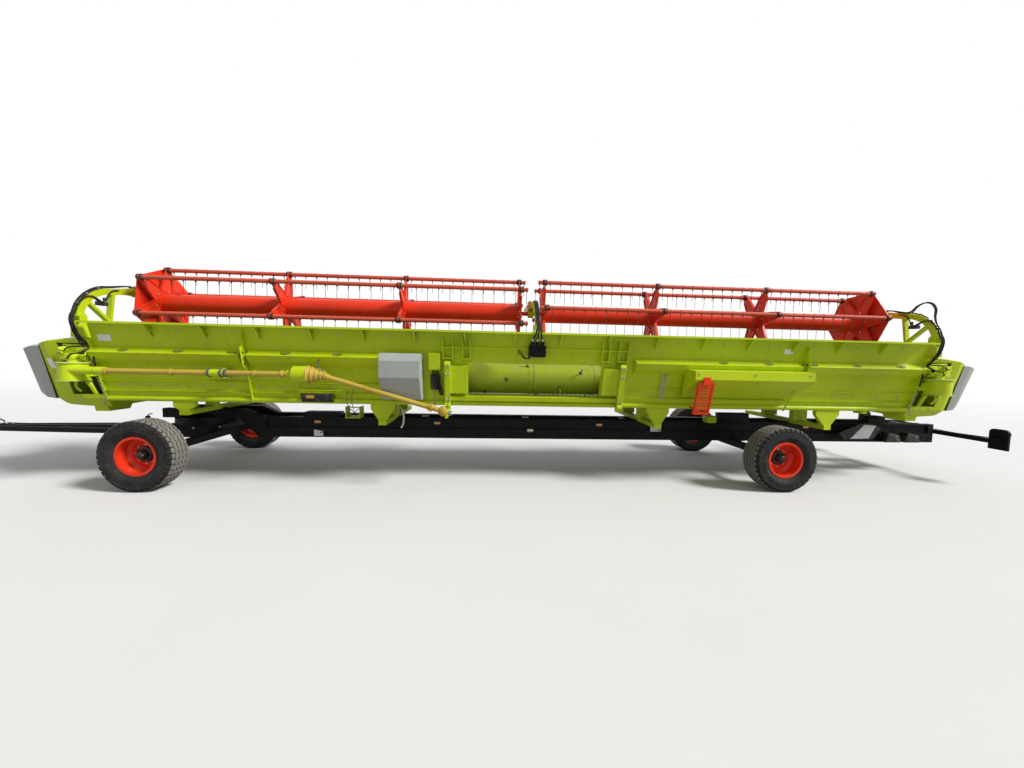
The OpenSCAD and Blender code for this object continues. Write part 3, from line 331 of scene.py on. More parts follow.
class Finishes(dict):
    """The finishes by name, made when first asked for."""

    def __missing__(self, name):
        c = bpy.context.scene.header_colours
        makers = {
            "lime": lambda: painted("lime_paint", c.lime, shaded(c.lime, 0.25)),
            # Painted shade: the trough and the auger are lime, and this darker copy of it is the shade inside the
            # header; its chips of bare steel are wear from the crop.
            "green": lambda: painted("worn_green_paint", c.green, c.steel, rough=0.42, dust=0.3, chips=0.66),
            "red": lambda: painted("red_paint", c.red, shaded(c.red, 0.35), rough=0.38, dust=0.12, gloss=0.25),
            "rim": lambda: painted("rim_paint", c.red, shaded(c.red, 0.35), rough=0.33, dust=0.12, gloss=0.4,
                                   over=black_hub),
            "black": lambda: painted("black_paint", c.black, (0.08, 0.045, 0.025), rough=0.45, dust=0.10, chips=0.73,
                                     gloss=0.15),
            "cover": lambda: moulded("cover_grey", c.cover),
            "guard": lambda: moulded("guard_yellow", c.guard, rough=0.48, dust=0.2),
            "steel": lambda: bare_metal("bare_steel", c.steel),
            "dull": lambda: bare_metal("dull_steel", (0.16, 0.16, 0.155), rough=0.5, rust=0.35),
            "chrome": lambda: bare_metal("chromed_rod", (0.75, 0.76, 0.78), rough=0.12, rust=0.02),
            "rubber": lambda: rubbery("tyre_rubber", c.rubber),
            "dark": lambda: moulded("black_plastic", shaded(c.black, 0.9), rough=0.5, dust=0.3),
            "primer": lambda: painted("grey_primer", (0.10, 0.10, 0.09), c.steel, rough=0.5),
            "zinc": lambda: bare_metal("zinc_plate", (0.55, 0.54, 0.50), rough=0.35, rust=0.12),
            # Painted highlight: a paler lime stands in for light on the rims of the drum flanges; its chips of bare
            # steel are wear.
            "pale_lime": lambda: painted("rubbed_lime_paint", (0.60, 0.68, 0.20), c.steel, chips=0.62),
            # Painted shade: a darker copy of the lime for the pressed hollows, with heavier dust in them.
            "shade_green": lambda: painted("shaded_lime_paint", shaded(c.lime, 0.35), c.steel, dust=0.6),
            "hub": lambda: painted("black_hub_paint", (0.03, 0.03, 0.032), c.steel, rough=0.35, dust=0.3, chips=0.6),
            "hose": lambda: rubbery("hose_rubber", (0.010, 0.010, 0.011), dust=0.08, worn=0.0),
            "label": lambda: moulded("blank_label", (0.88, 0.89, 0.90), rough=0.35, dust=0.12),
            "amber_patch": lambda: moulded("amber_plastic", (0.75, 0.42, 0.04), rough=0.4),
            "clear_lens": lambda: lens("clear_lens", (0.80, 0.82, 0.84)),
            "amber_lens": lambda: lens("amber_lens", (0.85, 0.30, 0.02)),
            "red_lens": lambda: lens("red_lens", (0.55, 0.02, 0.015)),
        }
        self[name] = makers[name]()
        return self[name]


finishes = Finishes()


def coat(obj, finish):
    obj.data.materials.clear()
    obj.data.materials.append(finishes[finish])


# Modelling helpers


def deselect():
    if bpy.context.mode != "OBJECT":
        bpy.ops.object.mode_set(mode="OBJECT")
    bpy.ops.object.select_all(action="DESELECT")


def pick(obj):
    deselect()
    obj.select_set(True)
    bpy.context.view_layer.objects.active = obj
    return obj


def twin_of(obj):
    """A copy with its own mesh, picked."""
    pick(obj)
    bpy.ops.object.duplicate(linked=False)
    return bpy.context.object


def drop(obj):
    pick(obj)
    bpy.ops.object.delete()


def settle_place():
    """Puts the place, turn and size of the picked objects into their meshes."""
    bpy.ops.object.transform_apply(location=True, rotation=True, scale=True)
    return bpy.context.object


def edit_all():
    bpy.ops.object.mode_set(mode="EDIT")
    bpy.ops.mesh.select_all(action="SELECT")


def leave_edit():
    bpy.ops.object.mode_set(mode="OBJECT")
    return bpy.context.object


def face_out():
    """Turns all faces outwards and leaves edit mode."""
    bpy.ops.mesh.select_all(action="SELECT")
    bpy.ops.mesh.normals_make_consistent(inside=False)
    return leave_edit()


def choose(test, kind="faces"):
    """Selects the faces or vertices that pass a test, in edit mode."""
    if bpy.context.mode != "EDIT_MESH":
        bpy.ops.object.mode_set(mode="EDIT")
    bpy.ops.mesh.select_mode(type={"faces": "FACE", "verts": "VERT"}[kind])
    bpy.ops.mesh.select_all(action="DESELECT")
    mesh = bpy.context.object.data
    shape = bmesh.from_edit_mesh(mesh)
    for part in getattr(shape, kind):
        part.select_set(bool(test(part)))
    shape.select_flush_mode()
    bmesh.update_edit_mesh(mesh)


def close_up(merge=0.0001):
    """Merges doubles and turns all faces outwards."""
    edit_all()
    bpy.ops.mesh.remove_doubles(threshold=merge)
    return face_out()


def apply_modifier(kind, **settings):
    obj = bpy.context.object
    modifier = obj.modifiers.new(kind.lower(), kind)
    for key, value in settings.items():
        setattr(modifier, key, value)
    bpy.ops.object.modifier_apply(modifier=modifier.name)
    return obj


def in_row(count, pitch):
    """The picked part, count times along x."""
    return apply_modifier("ARRAY", count=count, use_relative_offset=False, use_constant_offset=True,
                          constant_offset_displace=(pitch, 0, 0))


def disc(corners, radius=1, height=0, fill="NGON"):
    deselect()
    bpy.ops.mesh.primitive_circle_add(vertices=corners, radius=radius, fill_type=fill, location=(0, 0, height))
    return bpy.context.object


def slab(points, depth, edge=0.002):
    """A sheet or block: a face through points, drawn out by depth, with its edges rounded."""
    for vertex, point in zip(disc(len(points)).data.vertices, points):
        vertex.co = point
    edit_all()
    bpy.ops.mesh.extrude_region_move(TRANSFORM_OT_translate={"value": depth})
    obj = face_out()
    if edge:
        apply_modifier("BEVEL", width=edge, segments=2, limit_method="ANGLE", angle_limit=radians(35))
    return obj


def block(low, high, edge=0.004):
    """A block between two corners."""
    (a, b, c), (d, e, f) = low, high
    return slab([(a, b, c), (d, b, c), (d, e, c), (a, e, c)], (0, 0, f - c), edge)


def upright(points, y, thick, edge=0.003):
    """An upright sheet along x through (x, z) points."""
    return slab([(x, y, z) for x, z in points], (0, thick, 0), edge)


def plate(x0, x1, z0, z1, y, thick, edge=0.003):
    return upright([(x0, z0), (x1, z0), (x1, z1), (x0, z1)], y, thick, edge)


def on_wall(x0, x1, z0, z1, off, thick, edge=0.002):
    """A sheet that lies along the leaning wall, from off to off + thick behind it."""
    low, high = lean(z0) - off, lean(z1) - off
    return slab([(x0, low, z0), (x1, low, z0), (x1, high, z1), (x0, high, z1)], (0, -thick, 0), edge)


def stand(place, axis):
    obj = bpy.context.object
    obj.location = place
    obj.rotation_euler = Vector(axis).to_track_quat("Z", "Y").to_euler()
    return settle_place()


def turned(steps, sides=20, place=(0, 0, 0), axis=UP):
    """A turned or many-sided part: (height, radius) steps from its foot to its head, standing on a place."""
    height, radius = steps[0]
    disc(sides, radius, height)
    settle_place()
    bpy.ops.object.mode_set(mode="EDIT")
    bpy.ops.mesh.select_mode(type="FACE")
    bpy.ops.mesh.select_all(action="SELECT")
    for level, wide in steps[1:]:
        bpy.ops.mesh.extrude_region_move(TRANSFORM_OT_translate={"value": (0, 0, level - height)})
        bpy.ops.transform.resize(value=(wide / radius, wide / radius, 1), center_override=(0, 0, level))
        height, radius = level, wide
    face_out()
    return stand(place, axis)


def ring(half, inner, outer, sides=28, place=(0, 0, 0), axis=ALONG, chamfer=None):
    """A band, half its width to either side of its place. A chamfer is its width and its fall."""
    width, fall = chamfer or (0, 0)
    rim = [(half - width, outer), (half, outer - fall)] if chamfer else [(half, outer)]
    mirror = [(-height, radius) for height, radius in reversed(rim)]
    return turned([(-half, inner), *mirror, *rim, (half, inner)], sides, place, axis)


def ridge(half, radius, sides, place, axis=ALONG):
    """A ring that rises to a blunt edge in its middle."""
    steps = [(-half, radius - 0.008), (-half, radius), (0, radius + 0.005), (half, radius), (half, radius - 0.008)]
    return turned(steps, sides, place, axis)


def tube(points, radius, sides=2, steps=6):
    """A pipe, rod or hose through points, closed at both ends."""
    deselect()
    bpy.ops.curve.primitive_bezier_curve_add(location=(0, 0, 0))
    curve = bpy.context.object.data
    spline = curve.splines[0]
    spline.bezier_points.add(len(points) - len(spline.bezier_points))
    for knot, point in zip(spline.bezier_points, points):
        knot.co = point
        knot.handle_left_type = knot.handle_right_type = "AUTO"
    curve.resolution_u = steps
    curve.bevel_depth = radius
    curve.bevel_resolution = sides
    curve.use_fill_caps = True
    bpy.ops.object.convert(target="MESH")
    return close_up()


def both_ends(*parts):
    """The parts, each with its mirror image at the header's other end."""
    made = []
    for part in parts:
        twin_of(part)
        edit_all()
        bpy.ops.transform.resize(value=(-1, 1, 1), center_override=(HEADER_X, 0, 0))
        bpy.ops.mesh.flip_normals()
        made += [part, leave_edit()]
    return made


def joined(parts):
    pick(parts[0])
    for part in parts:
        part.select_set(True)
    if len(parts) > 1:
        bpy.ops.object.join()
    return bpy.context.object


def settle(name, finish, parts, body="trailer"):
    """Ends a piece: its parts are joined, smoothed and placed in its mesh, and it gets a name, a finish and a body.

    A piece that bends between two bodies gets no body here.
    """
    obj = joined(parts)
    settle_place()
    bpy.ops.object.shade_smooth_by_angle(angle=radians(35))
    obj.name = obj.data.name = name
    coat(obj, finish)
    if body:
        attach(obj, body)
    return obj


def spread(part, spots):
    """Copies of a part in its stead. A spot is a place and the direction that the copy's head looks in."""
    made = []
    for spot in spots:
        twin_of(part)
        made.append(stand(*spot))
    drop(part)
    return made


def bolts(name, size, spots, body="trailer", finish="zinc"):
    """Hexagon bolts with washers."""
    washer = turned([(0, size * 0.62), (size * 0.12, size * 0.62)], 12)
    head = turned([(size * 0.1, size * 0.5), (size * 0.5, size * 0.5), (size * 0.62, size * 0.4)], 6)
    return settle(name, finish, spread(joined([washer, head]), spots), body)


def chain(points, link):
    """Links along a line of points, every second one turned by a quarter."""
    deselect()
    bpy.ops.mesh.primitive_torus_add(major_radius=link * 0.36, minor_radius=link * 0.11, major_segments=10,
                                     minor_segments=5, rotation=(pi / 2, 0, 0))
    first = settle_place()
    bpy.ops.object.mode_set(mode="EDIT")
    for side in (-1, 1):
        choose(lambda v, side=side: side * v.co.z > 0.001, "verts")
        bpy.ops.transform.translate(value=(0, 0, side * link * 0.2))
    leave_edit()
    parts, spare, flip = [], 0.0, False
    for a, b in zip(points, points[1:]):
        a, b = Vector(a), Vector(b)
        turn = (b - a).to_track_quat("Z", "Y").to_matrix().to_4x4()
        way = spare
        while way < (b - a).length:
            place = Matrix.Translation(a + (b - a).normalized() * way)
            twin_of(first).matrix_world = place @ turn @ Matrix.Rotation(pi / 2 * flip, 4, "Z")
            parts.append(settle_place())
            way += link * 0.9
            flip = not flip
        spare = way - (b - a).length
    drop(first)
    return joined(parts)


# Steps


class HEADER_OT_stage(bpy.types.Operator):
    """Pale floor, soft light from above and the camera where the photographer stood"""

    bl_idname = "header.stage"
    bl_label = "Stage"

    def execute(self, context):
        floor = disc(96, 70)
        floor.name = "floor"
        settle_place()
        paint = Paint("pale_floor")
        tint = tuple(context.scene.header_colours.floor)
        grain = paint.noise(0.7, 5)
        looked_at = paint.node("ShaderNodeLightPath", output="Is Camera Ray")
        paint.finish(looked_at.mix(shaded(tint, 0.5), grain.mix(tint, shaded(tint, 0.94))), 0.9)
        # Where the camera looks, the floor fades to white from 8 m to 34 m out
        away = paint.node("ShaderNodeVectorMath", {"operation": "LENGTH"}, [paint.place], output="Value").above(8, 34)
        glow = paint.node("ShaderNodeEmission", inputs={"Color": (1, 1, 1), "Strength": 1.0})
        lit = Shade(paint, paint.shader.outputs[0])
        blend = paint.node("ShaderNodeMixShader", inputs=[away * looked_at, lit, glow])
        paint.feed(paint.tree.nodes["Material Output"].inputs["Surface"], blend)
        floor.data.materials.append(paint.material)

        bpy.ops.object.light_add(type="SUN", location=(10, -12, 12))
        sun = context.object
        sun.name = "soft_sun"
        sun.rotation_euler = Vector((-0.95, 0.38, -0.85)).to_track_quat("-Z", "Y").to_euler()
        sun.data.energy = 3.9
        sun.data.angle = radians(14)

        world = context.scene.world or bpy.data.worlds.new("World")
        context.scene.world = world
        world.use_nodes = True
        world.node_tree.nodes.clear()
        # The camera and mirrors see white, and the rest is lit by a dimmer sky
        sky = Tree(world.node_tree)
        seen, glossy, through = (sky.node("ShaderNodeLightPath", output="Is %s Ray" % ray)
                                 for ray in ("Camera", "Glossy", "Transmission"))
        dim = sky.node("ShaderNodeBackground", inputs=[(0.93, 0.96, 1.0), 0.40])
        white = sky.node("ShaderNodeBackground", inputs=[(1, 1, 1), 1.0])
        share = seen.math("MAXIMUM", glossy.math("MAXIMUM", through))
        output = world.node_tree.nodes.new("ShaderNodeOutputWorld")
        sky.feed(output.inputs["Surface"], sky.node("ShaderNodeMixShader", inputs=[share, dim, white]))

        bpy.ops.object.camera_add(location=(0.1157, -5.819, 1.65))
        camera = context.object
        camera.name = "photo_camera"
        yaw, pitch, roll = 0.0622, 0.0651, 0.0218
        turn = Matrix.Rotation(-yaw, 4, "Z") @ Matrix.Rotation(pi / 2 - pitch, 4, "X") @ Matrix.Rotation(roll, 4, "Z")
        camera.rotation_euler = turn.to_euler()
        focal_px, photo_px, sensor_mm = 379.14, 1024, 36
        camera.data.sensor_width = sensor_mm
        camera.data.lens = focal_px * sensor_mm / photo_px
        camera.data.clip_end = 300
        context.scene.camera = camera
        context.scene.view_settings.view_transform = "Standard"
        return {"FINISHED"}


class HEADER_OT_finish_frame(bpy.types.Operator):
    """Procedural paint, rubber, plastic and steel on the frame's own parts"""

    bl_idname = "header.finish_frame"
    bl_label = "Finishes of the frame"

    def execute(self, context):
        slots = {
            "lime_paint": "lime", "green_paint": "green", "red_paint": "red", "black_paint": "black",
            "cover_grey": "cover", "guard_yellow": "guard", "steel": "steel", "chrome": "chrome",
            "tyre_rubber": "rubber",
        }
        red = context.scene.header_colours.red
        for part in frame["record"]["subparts"]:
            name = part["node"]
            if name.startswith("bar_"):
                side, k = name.split("_")[1:]
                finishes[name] = painted(name + "_paint", (0.70, 0.11, 0.065), shaded(red, 0.35), rough=0.6,
                                         over=dark_tines(side, int(k) - 1))
                coat(frame["nodes"][name], name)
            else:
                coat(frame["nodes"][name], "rim" if name.startswith("rim_") else slots[part["material_slot"]])
        return {"FINISHED"}


# One side of a tyre as (radius, distance from its middle), from the rim to the crown
TYRE_SIDE = (
    (0.2163, 0.1087), (0.239, 0.1087), (0.251, 0.1187), (0.266, 0.1300), (0.285, 0.1405), (0.296, 0.1430),
    (0.299, 0.1460), (0.305, 0.1465), (0.308, 0.1440), (0.331, 0.1450), (0.352, 0.1435), (0.372, 0.1415),
    (0.378, 0.1435), (0.392, 0.1385), (0.408, 0.1310), (0.418, 0.1215), (TYRE_R, 0.1130), (TYRE_R, 0.1000),
)
GROOVES, GROOVE_DEPTH, ZIGZAG, ZIGZAG_Y = (0.079, 0.027), 0.012, 0.0085, 0.092
SHOULDER_R, SHOULDER_Y, SHOULDER_CUT = 0.383, 0.1005, 0.007
BLOCK_STEPS = 4


class HEADER_OT_tyres(bpy.types.Operator):
    """Grooved tyres with zigzag ribs and cut shoulders, in the place of the frame's plain ones"""

    bl_idname = "header.tyres"
    bl_label = "Tyres"

    def execute(self, context):
        sizes = context.scene.header_sizes
        count, depth = sizes.tread_blocks, sizes.tread_depth
        half = list(TYRE_SIDE)
        for middle in GROOVES:
            half += [(TYRE_R, middle + 0.009), (TYRE_R - GROOVE_DEPTH, middle + 0.005),
                     (TYRE_R - GROOVE_DEPTH, middle - 0.005), (TYRE_R, middle - 0.009)]
        outline = half + [(radius, -side) for radius, side in reversed(half)]
        pitch = tau / count
        for vertex, (radius, side) in zip(disc(len(outline), fill="NOTHING").data.vertices, outline):
            vertex.co = (radius * sin(-pitch / 2), side, radius * cos(pitch / 2))
        edit_all()
        bpy.ops.mesh.spin(steps=BLOCK_STEPS, angle=pitch, center=(0, 0, 0), axis=(0, 1, 0))

        def step_of(place):
            return abs(atan2(place.x, place.z) + pitch / 2) / pitch * BLOCK_STEPS

        def on_shoulder(face, side):
            place = face.calc_center_median()
            return (1.6 < step_of(place) < 3 and hypot(place.x, place.z) > SHOULDER_R
                    and side * place.y > SHOULDER_Y)

        for step, shift in ((1, ZIGZAG), (3, -ZIGZAG)):
            choose(lambda v: abs(step_of(v.co) - step) < 0.3 and abs(v.co.y) < ZIGZAG_Y, "verts")
            bpy.ops.transform.translate(value=(0, shift, 0))
        for side in (-1, 1):
            choose(lambda face, side=side: on_shoulder(face, side))
            bpy.ops.mesh.extrude_region_move(TRANSFORM_OT_translate={"value": (0, -side * SHOULDER_CUT, -depth)})
        bpy.ops.mesh.select_all(action="SELECT")
        bpy.ops.mesh.spin(
            steps=count - 1, dupli=True, angle=tau * (count - 1) / count, center=(0, 0, 0), axis=(0, 1, 0))
        tyre = close_up(0.0003)
        for turn, (name, (x, y)) in enumerate(AXLES.items()):
            twin = twin_of(tyre)
            twin.rotation_euler[1] = 0.7 * turn
            twin.location = (x, y, TYRE_R)
            piece = settle("tread_" + name, "rubber", [twin], "wheel_" + name)
            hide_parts("tyre_" + name)
        drop(tyre)
        return {"FINISHED"}


class HEADER_OT_wheels(bpy.types.Operator):
    """Wheel nuts, hub caps and valves"""

    bl_idname = "header.wheels"
    bl_label = "Wheel nuts and hubs"

    def execute(self, context):
        size, nuts, circle = context.scene.header_sizes.bolt_head, 8, 0.115
        for name, (x, y) in AXLES.items():
            s = 1 if y > 0 else -1
            body, out = "wheel_" + name, (0, s, 0)
            spots = [((x + circle * cos(tau * i / nuts), y - s * 0.042, TYRE_R + circle * sin(tau * i / nuts)), out)
                     for i in range(nuts)]
            bolts("nuts_" + name, size, spots, body)
            cap = turned([(0, 0.044), (0.022, 0.043), (0.030, 0.036), (0.034, 0.020)], 24,
                         (x, y + s * 0.04, TYRE_R), out)
            hub = turned([(-0.03, 0.090), (0.010, 0.090), (0.014, 0.084), (0.014, 0.070)], 32,
                         (x, y - s * 0.012, TYRE_R), out)
            settle("hub_" + name, "hub", [cap, hub], body)
            valve = tube([(x + 0.16, y - s * 0.045, TYRE_R + 0.08), (x + 0.165, y - s * 0.02, TYRE_R + 0.083),
                          (x + 0.172, y + s * 0.01, TYRE_R + 0.087)], 0.005, 2, 4)
            settle("valve_" + name, "dark", [valve], body)
        return {"FINISHED"}


class HEADER_OT_reel_trim(bpy.types.Operator):
    """Bearing collars of the tine bars, tine clips, bands of the tubes and bolts of the stars"""

    bl_idname = "header.reel_trim"
    bl_label = "Reel trim"

    def execute(self, context):
        for side, s in SIDES:
            body = "reel_half_" + side
            stars = [HEADER_X + s * star for star in STARS]
            collar = ring(0.032, 0.029, 0.043, 14, axis=UP, chamfer=(0.006, 0.003))
            spots, heads = [], []
            for x in stars:
                for k in range(6):
                    y, z = bar_place(side, k)
                    spots.append(((x, y, z), ALONG))
                    foot = Vector((x, REEL_Y, REEL_Z)) + Vector((0, y - REEL_Y, z - REEL_Z)).normalized() * 0.165
                    heads += [(foot + Vector((way * 0.017, 0, 0)), (way, 0, 0)) for way in (s, -s)]
            settle("collars_" + side, "dark", spread(collar, spots), body)
            bolts("star_bolts_" + side, 0.020, heads, body)
            rings = [ring(0.030, 0.126, 0.133, 40, (x, REEL_Y, REEL_Z)) for x in stars]
            settle("tube_bands_" + side, "red", rings, body)
            x = HEADER_X + s * 0.1
            for k in range(6):
                y, z = bar_place(side, k)
                place = "%s_%d" % (side, k + 1)
                clip = ring(0.008, 0.027, 0.030, 10, (x, y, z))
                foot = upright([(x - 0.007, z - 0.027), (x + 0.007, z - 0.027), (x + 0.005, z - 0.044),
                                (x - 0.005, z - 0.044)], y - 0.006, 0.012, 0)
                joined([clip, foot])
                settle("clips_" + place, "bar_" + place, [in_row(TINES, s * TINE_PITCH)], "tines_" + place)
        return {"FINISHED"}


def arm_line(side, s, lane):
    """One of the three hoses of an outer arm, from its port down into the end box.

    On the right two of them stand off the bend in a loop.
    """
    x, inward = HEADER_X + s * ARM_X + lane * 0.019, -s * 0.05
    points = [(x, -0.318, 2.507), (x, -0.37, 2.507)]
    for turn in range(95, 166, 10):
        away = 0.462 + 0.012 * (lane == 0)
        if side == "right" and lane >= 0:
            away += {105: 0.10, 115: 0.155, 125: 0.13, 135: 0.035}.get(turn, 0) * (1 + 0.12 * lane)
        points.append(round_x(x, BEND_Y, BEND_Z, away, turn)[0])
    points += [(x, -1.095, 2.03), (x + inward * 0.4, -1.105, 1.93), (x + inward, -1.09, 1.82),
               (x + inward * 1.7, -1.03, 1.70 + 0.02 * lane), (x + inward * 1.8, -0.96, 1.66)]
    return tube(points, 0.0085, 2, 5)


def clamp(place, out):
    """A bridge clamp over the hoses of an arm."""
    pick(upright([(-0.034, 0), (-0.034, 0.022), (0.034, 0.022), (0.034, 0)], -0.010, 0.020, 0.004))
    return stand(place, out)


class HEADER_OT_hoses(bpy.types.Operator):
    """Hydraulic hoses, clipped along the arms, and the lines of the coupler"""

    bl_idname = "header.hoses"
    bl_label = "Hoses"

    def execute(self, context):
        for side, s in SIDES:
            piece = settle("arm_hoses_" + side, "hose", [arm_line(side, s, lane) for lane in (-1, 0, 1)], None)
            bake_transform(piece)
            x = HEADER_X + s * ARM_X
            lines = [
                tube([(x - s * 0.030, -1.05, 2.18), (x - s * 0.042, -0.98, 2.27), (x - s * 0.044, -0.90, 2.30),
                      (x - s * 0.042, -0.82, 2.27), (x - s * 0.040, -0.755, 2.235)], 0.008),
                tube([(x - s * 0.036, -0.72, 2.26), (x - s * 0.040, -0.70, 2.33), (x - s * 0.040, -0.64, 2.40),
                      (x - s * 0.036, -0.55, 2.425)], 0.008),
            ]
            settle("valve_lines_" + side, "hose", lines, "arms")
            valve = block((x - 0.035, -0.79, 2.205), (x + 0.035, -0.69, 2.255), 0.006)
            knob = turned([(0, 0.016), (0.03, 0.015), (0.045, 0.022), (0.055, 0.018)], 12,
                          (x - s * 0.01, -0.72, 2.25), (0, 0.3, 1))
            stay = slab([(x - 0.004, -0.86, 2.30), (x - 0.004, -0.84, 2.315), (x - 0.004, -0.70, 2.225),
                         (x - 0.004, -0.72, 2.207)], (0.008, 0, 0), 0)
            settle("arm_valve_" + side, "dark", [valve, knob, stay], "arms")
            clips = [clamp(*round_x(x, BEND_Y, BEND_Z, 0.449, turn)) for turn in (112, 132, 152)]
            settle("hose_clips_" + side, "zinc", clips, "arms")
            port = block((x - 0.036, -0.332, 2.489), (x + 0.036, -0.304, 2.524), 0.005)
            ferrules = [turned([(0, 0.013), (0.020, 0.013), (0.024, 0.010), (0.034, 0.010)], 10,
                               (x + d, -0.330, 2.507), (0, -1, 0)) for d in (-0.019, 0, 0.019)]
            settle("hose_port_" + side, "zinc", [port, *ferrules], "arms")

        runs, ports = [], (-0.064, 0, 0.064)
        for lane, start in enumerate(ports):
            x, inner = HEADER_X + start, (lane - 1) * 0.018
            mid = HEADER_X + inner
            points = [(x, -1.0805, 1.85), (x, -1.0815, 1.90), ((x + mid) / 2, -1.13, 1.94),
                      (HEADER_X + inner * 1.6, -1.19, 1.985), (mid, -1.15, 2.07)]
            points += [round_x(mid, BEND_Y, BEND_Z, 0.464, turn)[0] for turn in range(158, 100, -14)]
            runs.append(tube(points, 0.0095))
        piece = settle("coupler_hoses", "hose", runs, None)
        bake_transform(piece)
        sleeves = [turned([(0, 0.018), (0.04, 0.018), (0.048, 0.013), (0.07, 0.0115)], 12,
                          (HEADER_X + d, -1.0805, 1.84), (0, -0.05, 1)) for d in ports]
        settle("coupler_sleeves", "zinc", sleeves)
        leads = [tube([(HEADER_X - 0.09 + 0.02 * i, -1.135, 1.70), (HEADER_X - 0.15 + 0.02 * i, -1.15, 1.66),
                       (HEADER_X - 0.20, -1.11, 1.70 + 0.03 * i), (HEADER_X - 0.24, -1.035, 1.74 + 0.03 * i)], 0.007)
                 for i in (0, 1)]
        settle("coupler_leads", "hose", leads)
        return {"FINISHED"}


class HEADER_OT_drive(bpy.types.Operator):
    """Bands, bellows, clamps and safety chains of the drive line"""

    bl_idname = "header.drive"
    bl_label = "Drive line"

    def execute(self, context):
        y, z = SHAFT_Y, SHAFT_Z
        bands = [ring(0.012, 0.041, 0.052, 28, (x, y, z), chamfer=(0.004, 0.003)) for x in (-3.166, -3.03, -2.981)]
        settle("bearing_bands", "primer", bands)
        collars = [ring(0.018, r - 0.004, r + 0.006, 28, (x, y, z), chamfer=(0.006, 0.002))
                   for x, r in ((-4.318, 0.036), (-3.60, 0.0335), (-2.66, 0.0335), (-2.34, 0.038))]
        collars += [ridge(0.007, 0.103 - 0.015 * i, 32, (-2.033 + 0.05 * i, y, z)) for i in range(4)]
        foot, head = Vector((-1.88, y, z - 0.01)), Vector((-0.43, -1.188, 1.0))
        along = (head - foot).normalized()
        for way, radius in ((0.05, 0.040), (0.075, 0.037), (0.55, 0.0325), (1.33, 0.041), (1.36, 0.047)):
            collars.append(ridge(0.009, radius, 28, foot + along * way, along))
        for i, radius in enumerate((0.058, 0.066, 0.069, 0.066, 0.056)):
            steps = [(-0.006, radius - 0.010), (0, radius), (0.006, radius - 0.010)]
            collars.append(turned(steps, 32, head + along * (0.018 * (i - 2)), along))
        settle("guard_bands", "guard", collars)
        yoke = [(0, 0.024), (0.03, 0.024), (0.034, 0.030), (0.055, 0.030), (0.060, 0.022), (0.075, 0.018)]
        settle("shaft_yoke", "steel", [turned(yoke, 16, head + along * 0.045, along)])
        hangs = ([(-1.855, -1.165, 1.46), (-1.90, -1.175, 1.50), (-1.93, -1.145, 1.55), (-1.95, -1.06, 1.60)],
                 [(-0.385, -1.19, 1.03), (-0.37, -1.175, 1.12), (-0.355, -1.10, 1.22)])
        settle("guard_chains", "dull", [chain(hang, 0.026) for hang in hangs])
        bearings = (-3.085, -2.12)
        settle("bearing_feet", "lime", [on_wall(x - 0.07, x + 0.07, 1.335, 1.475, 0.0, 0.006) for x in bearings])
        spots = [wall_spot(x + d, height, 0.007) for x in bearings for d in (-0.05, 0.05) for height in (1.355, 1.455)]
        bolts("bearing_bolts", 0.022, spots)
        return {"FINISHED"}


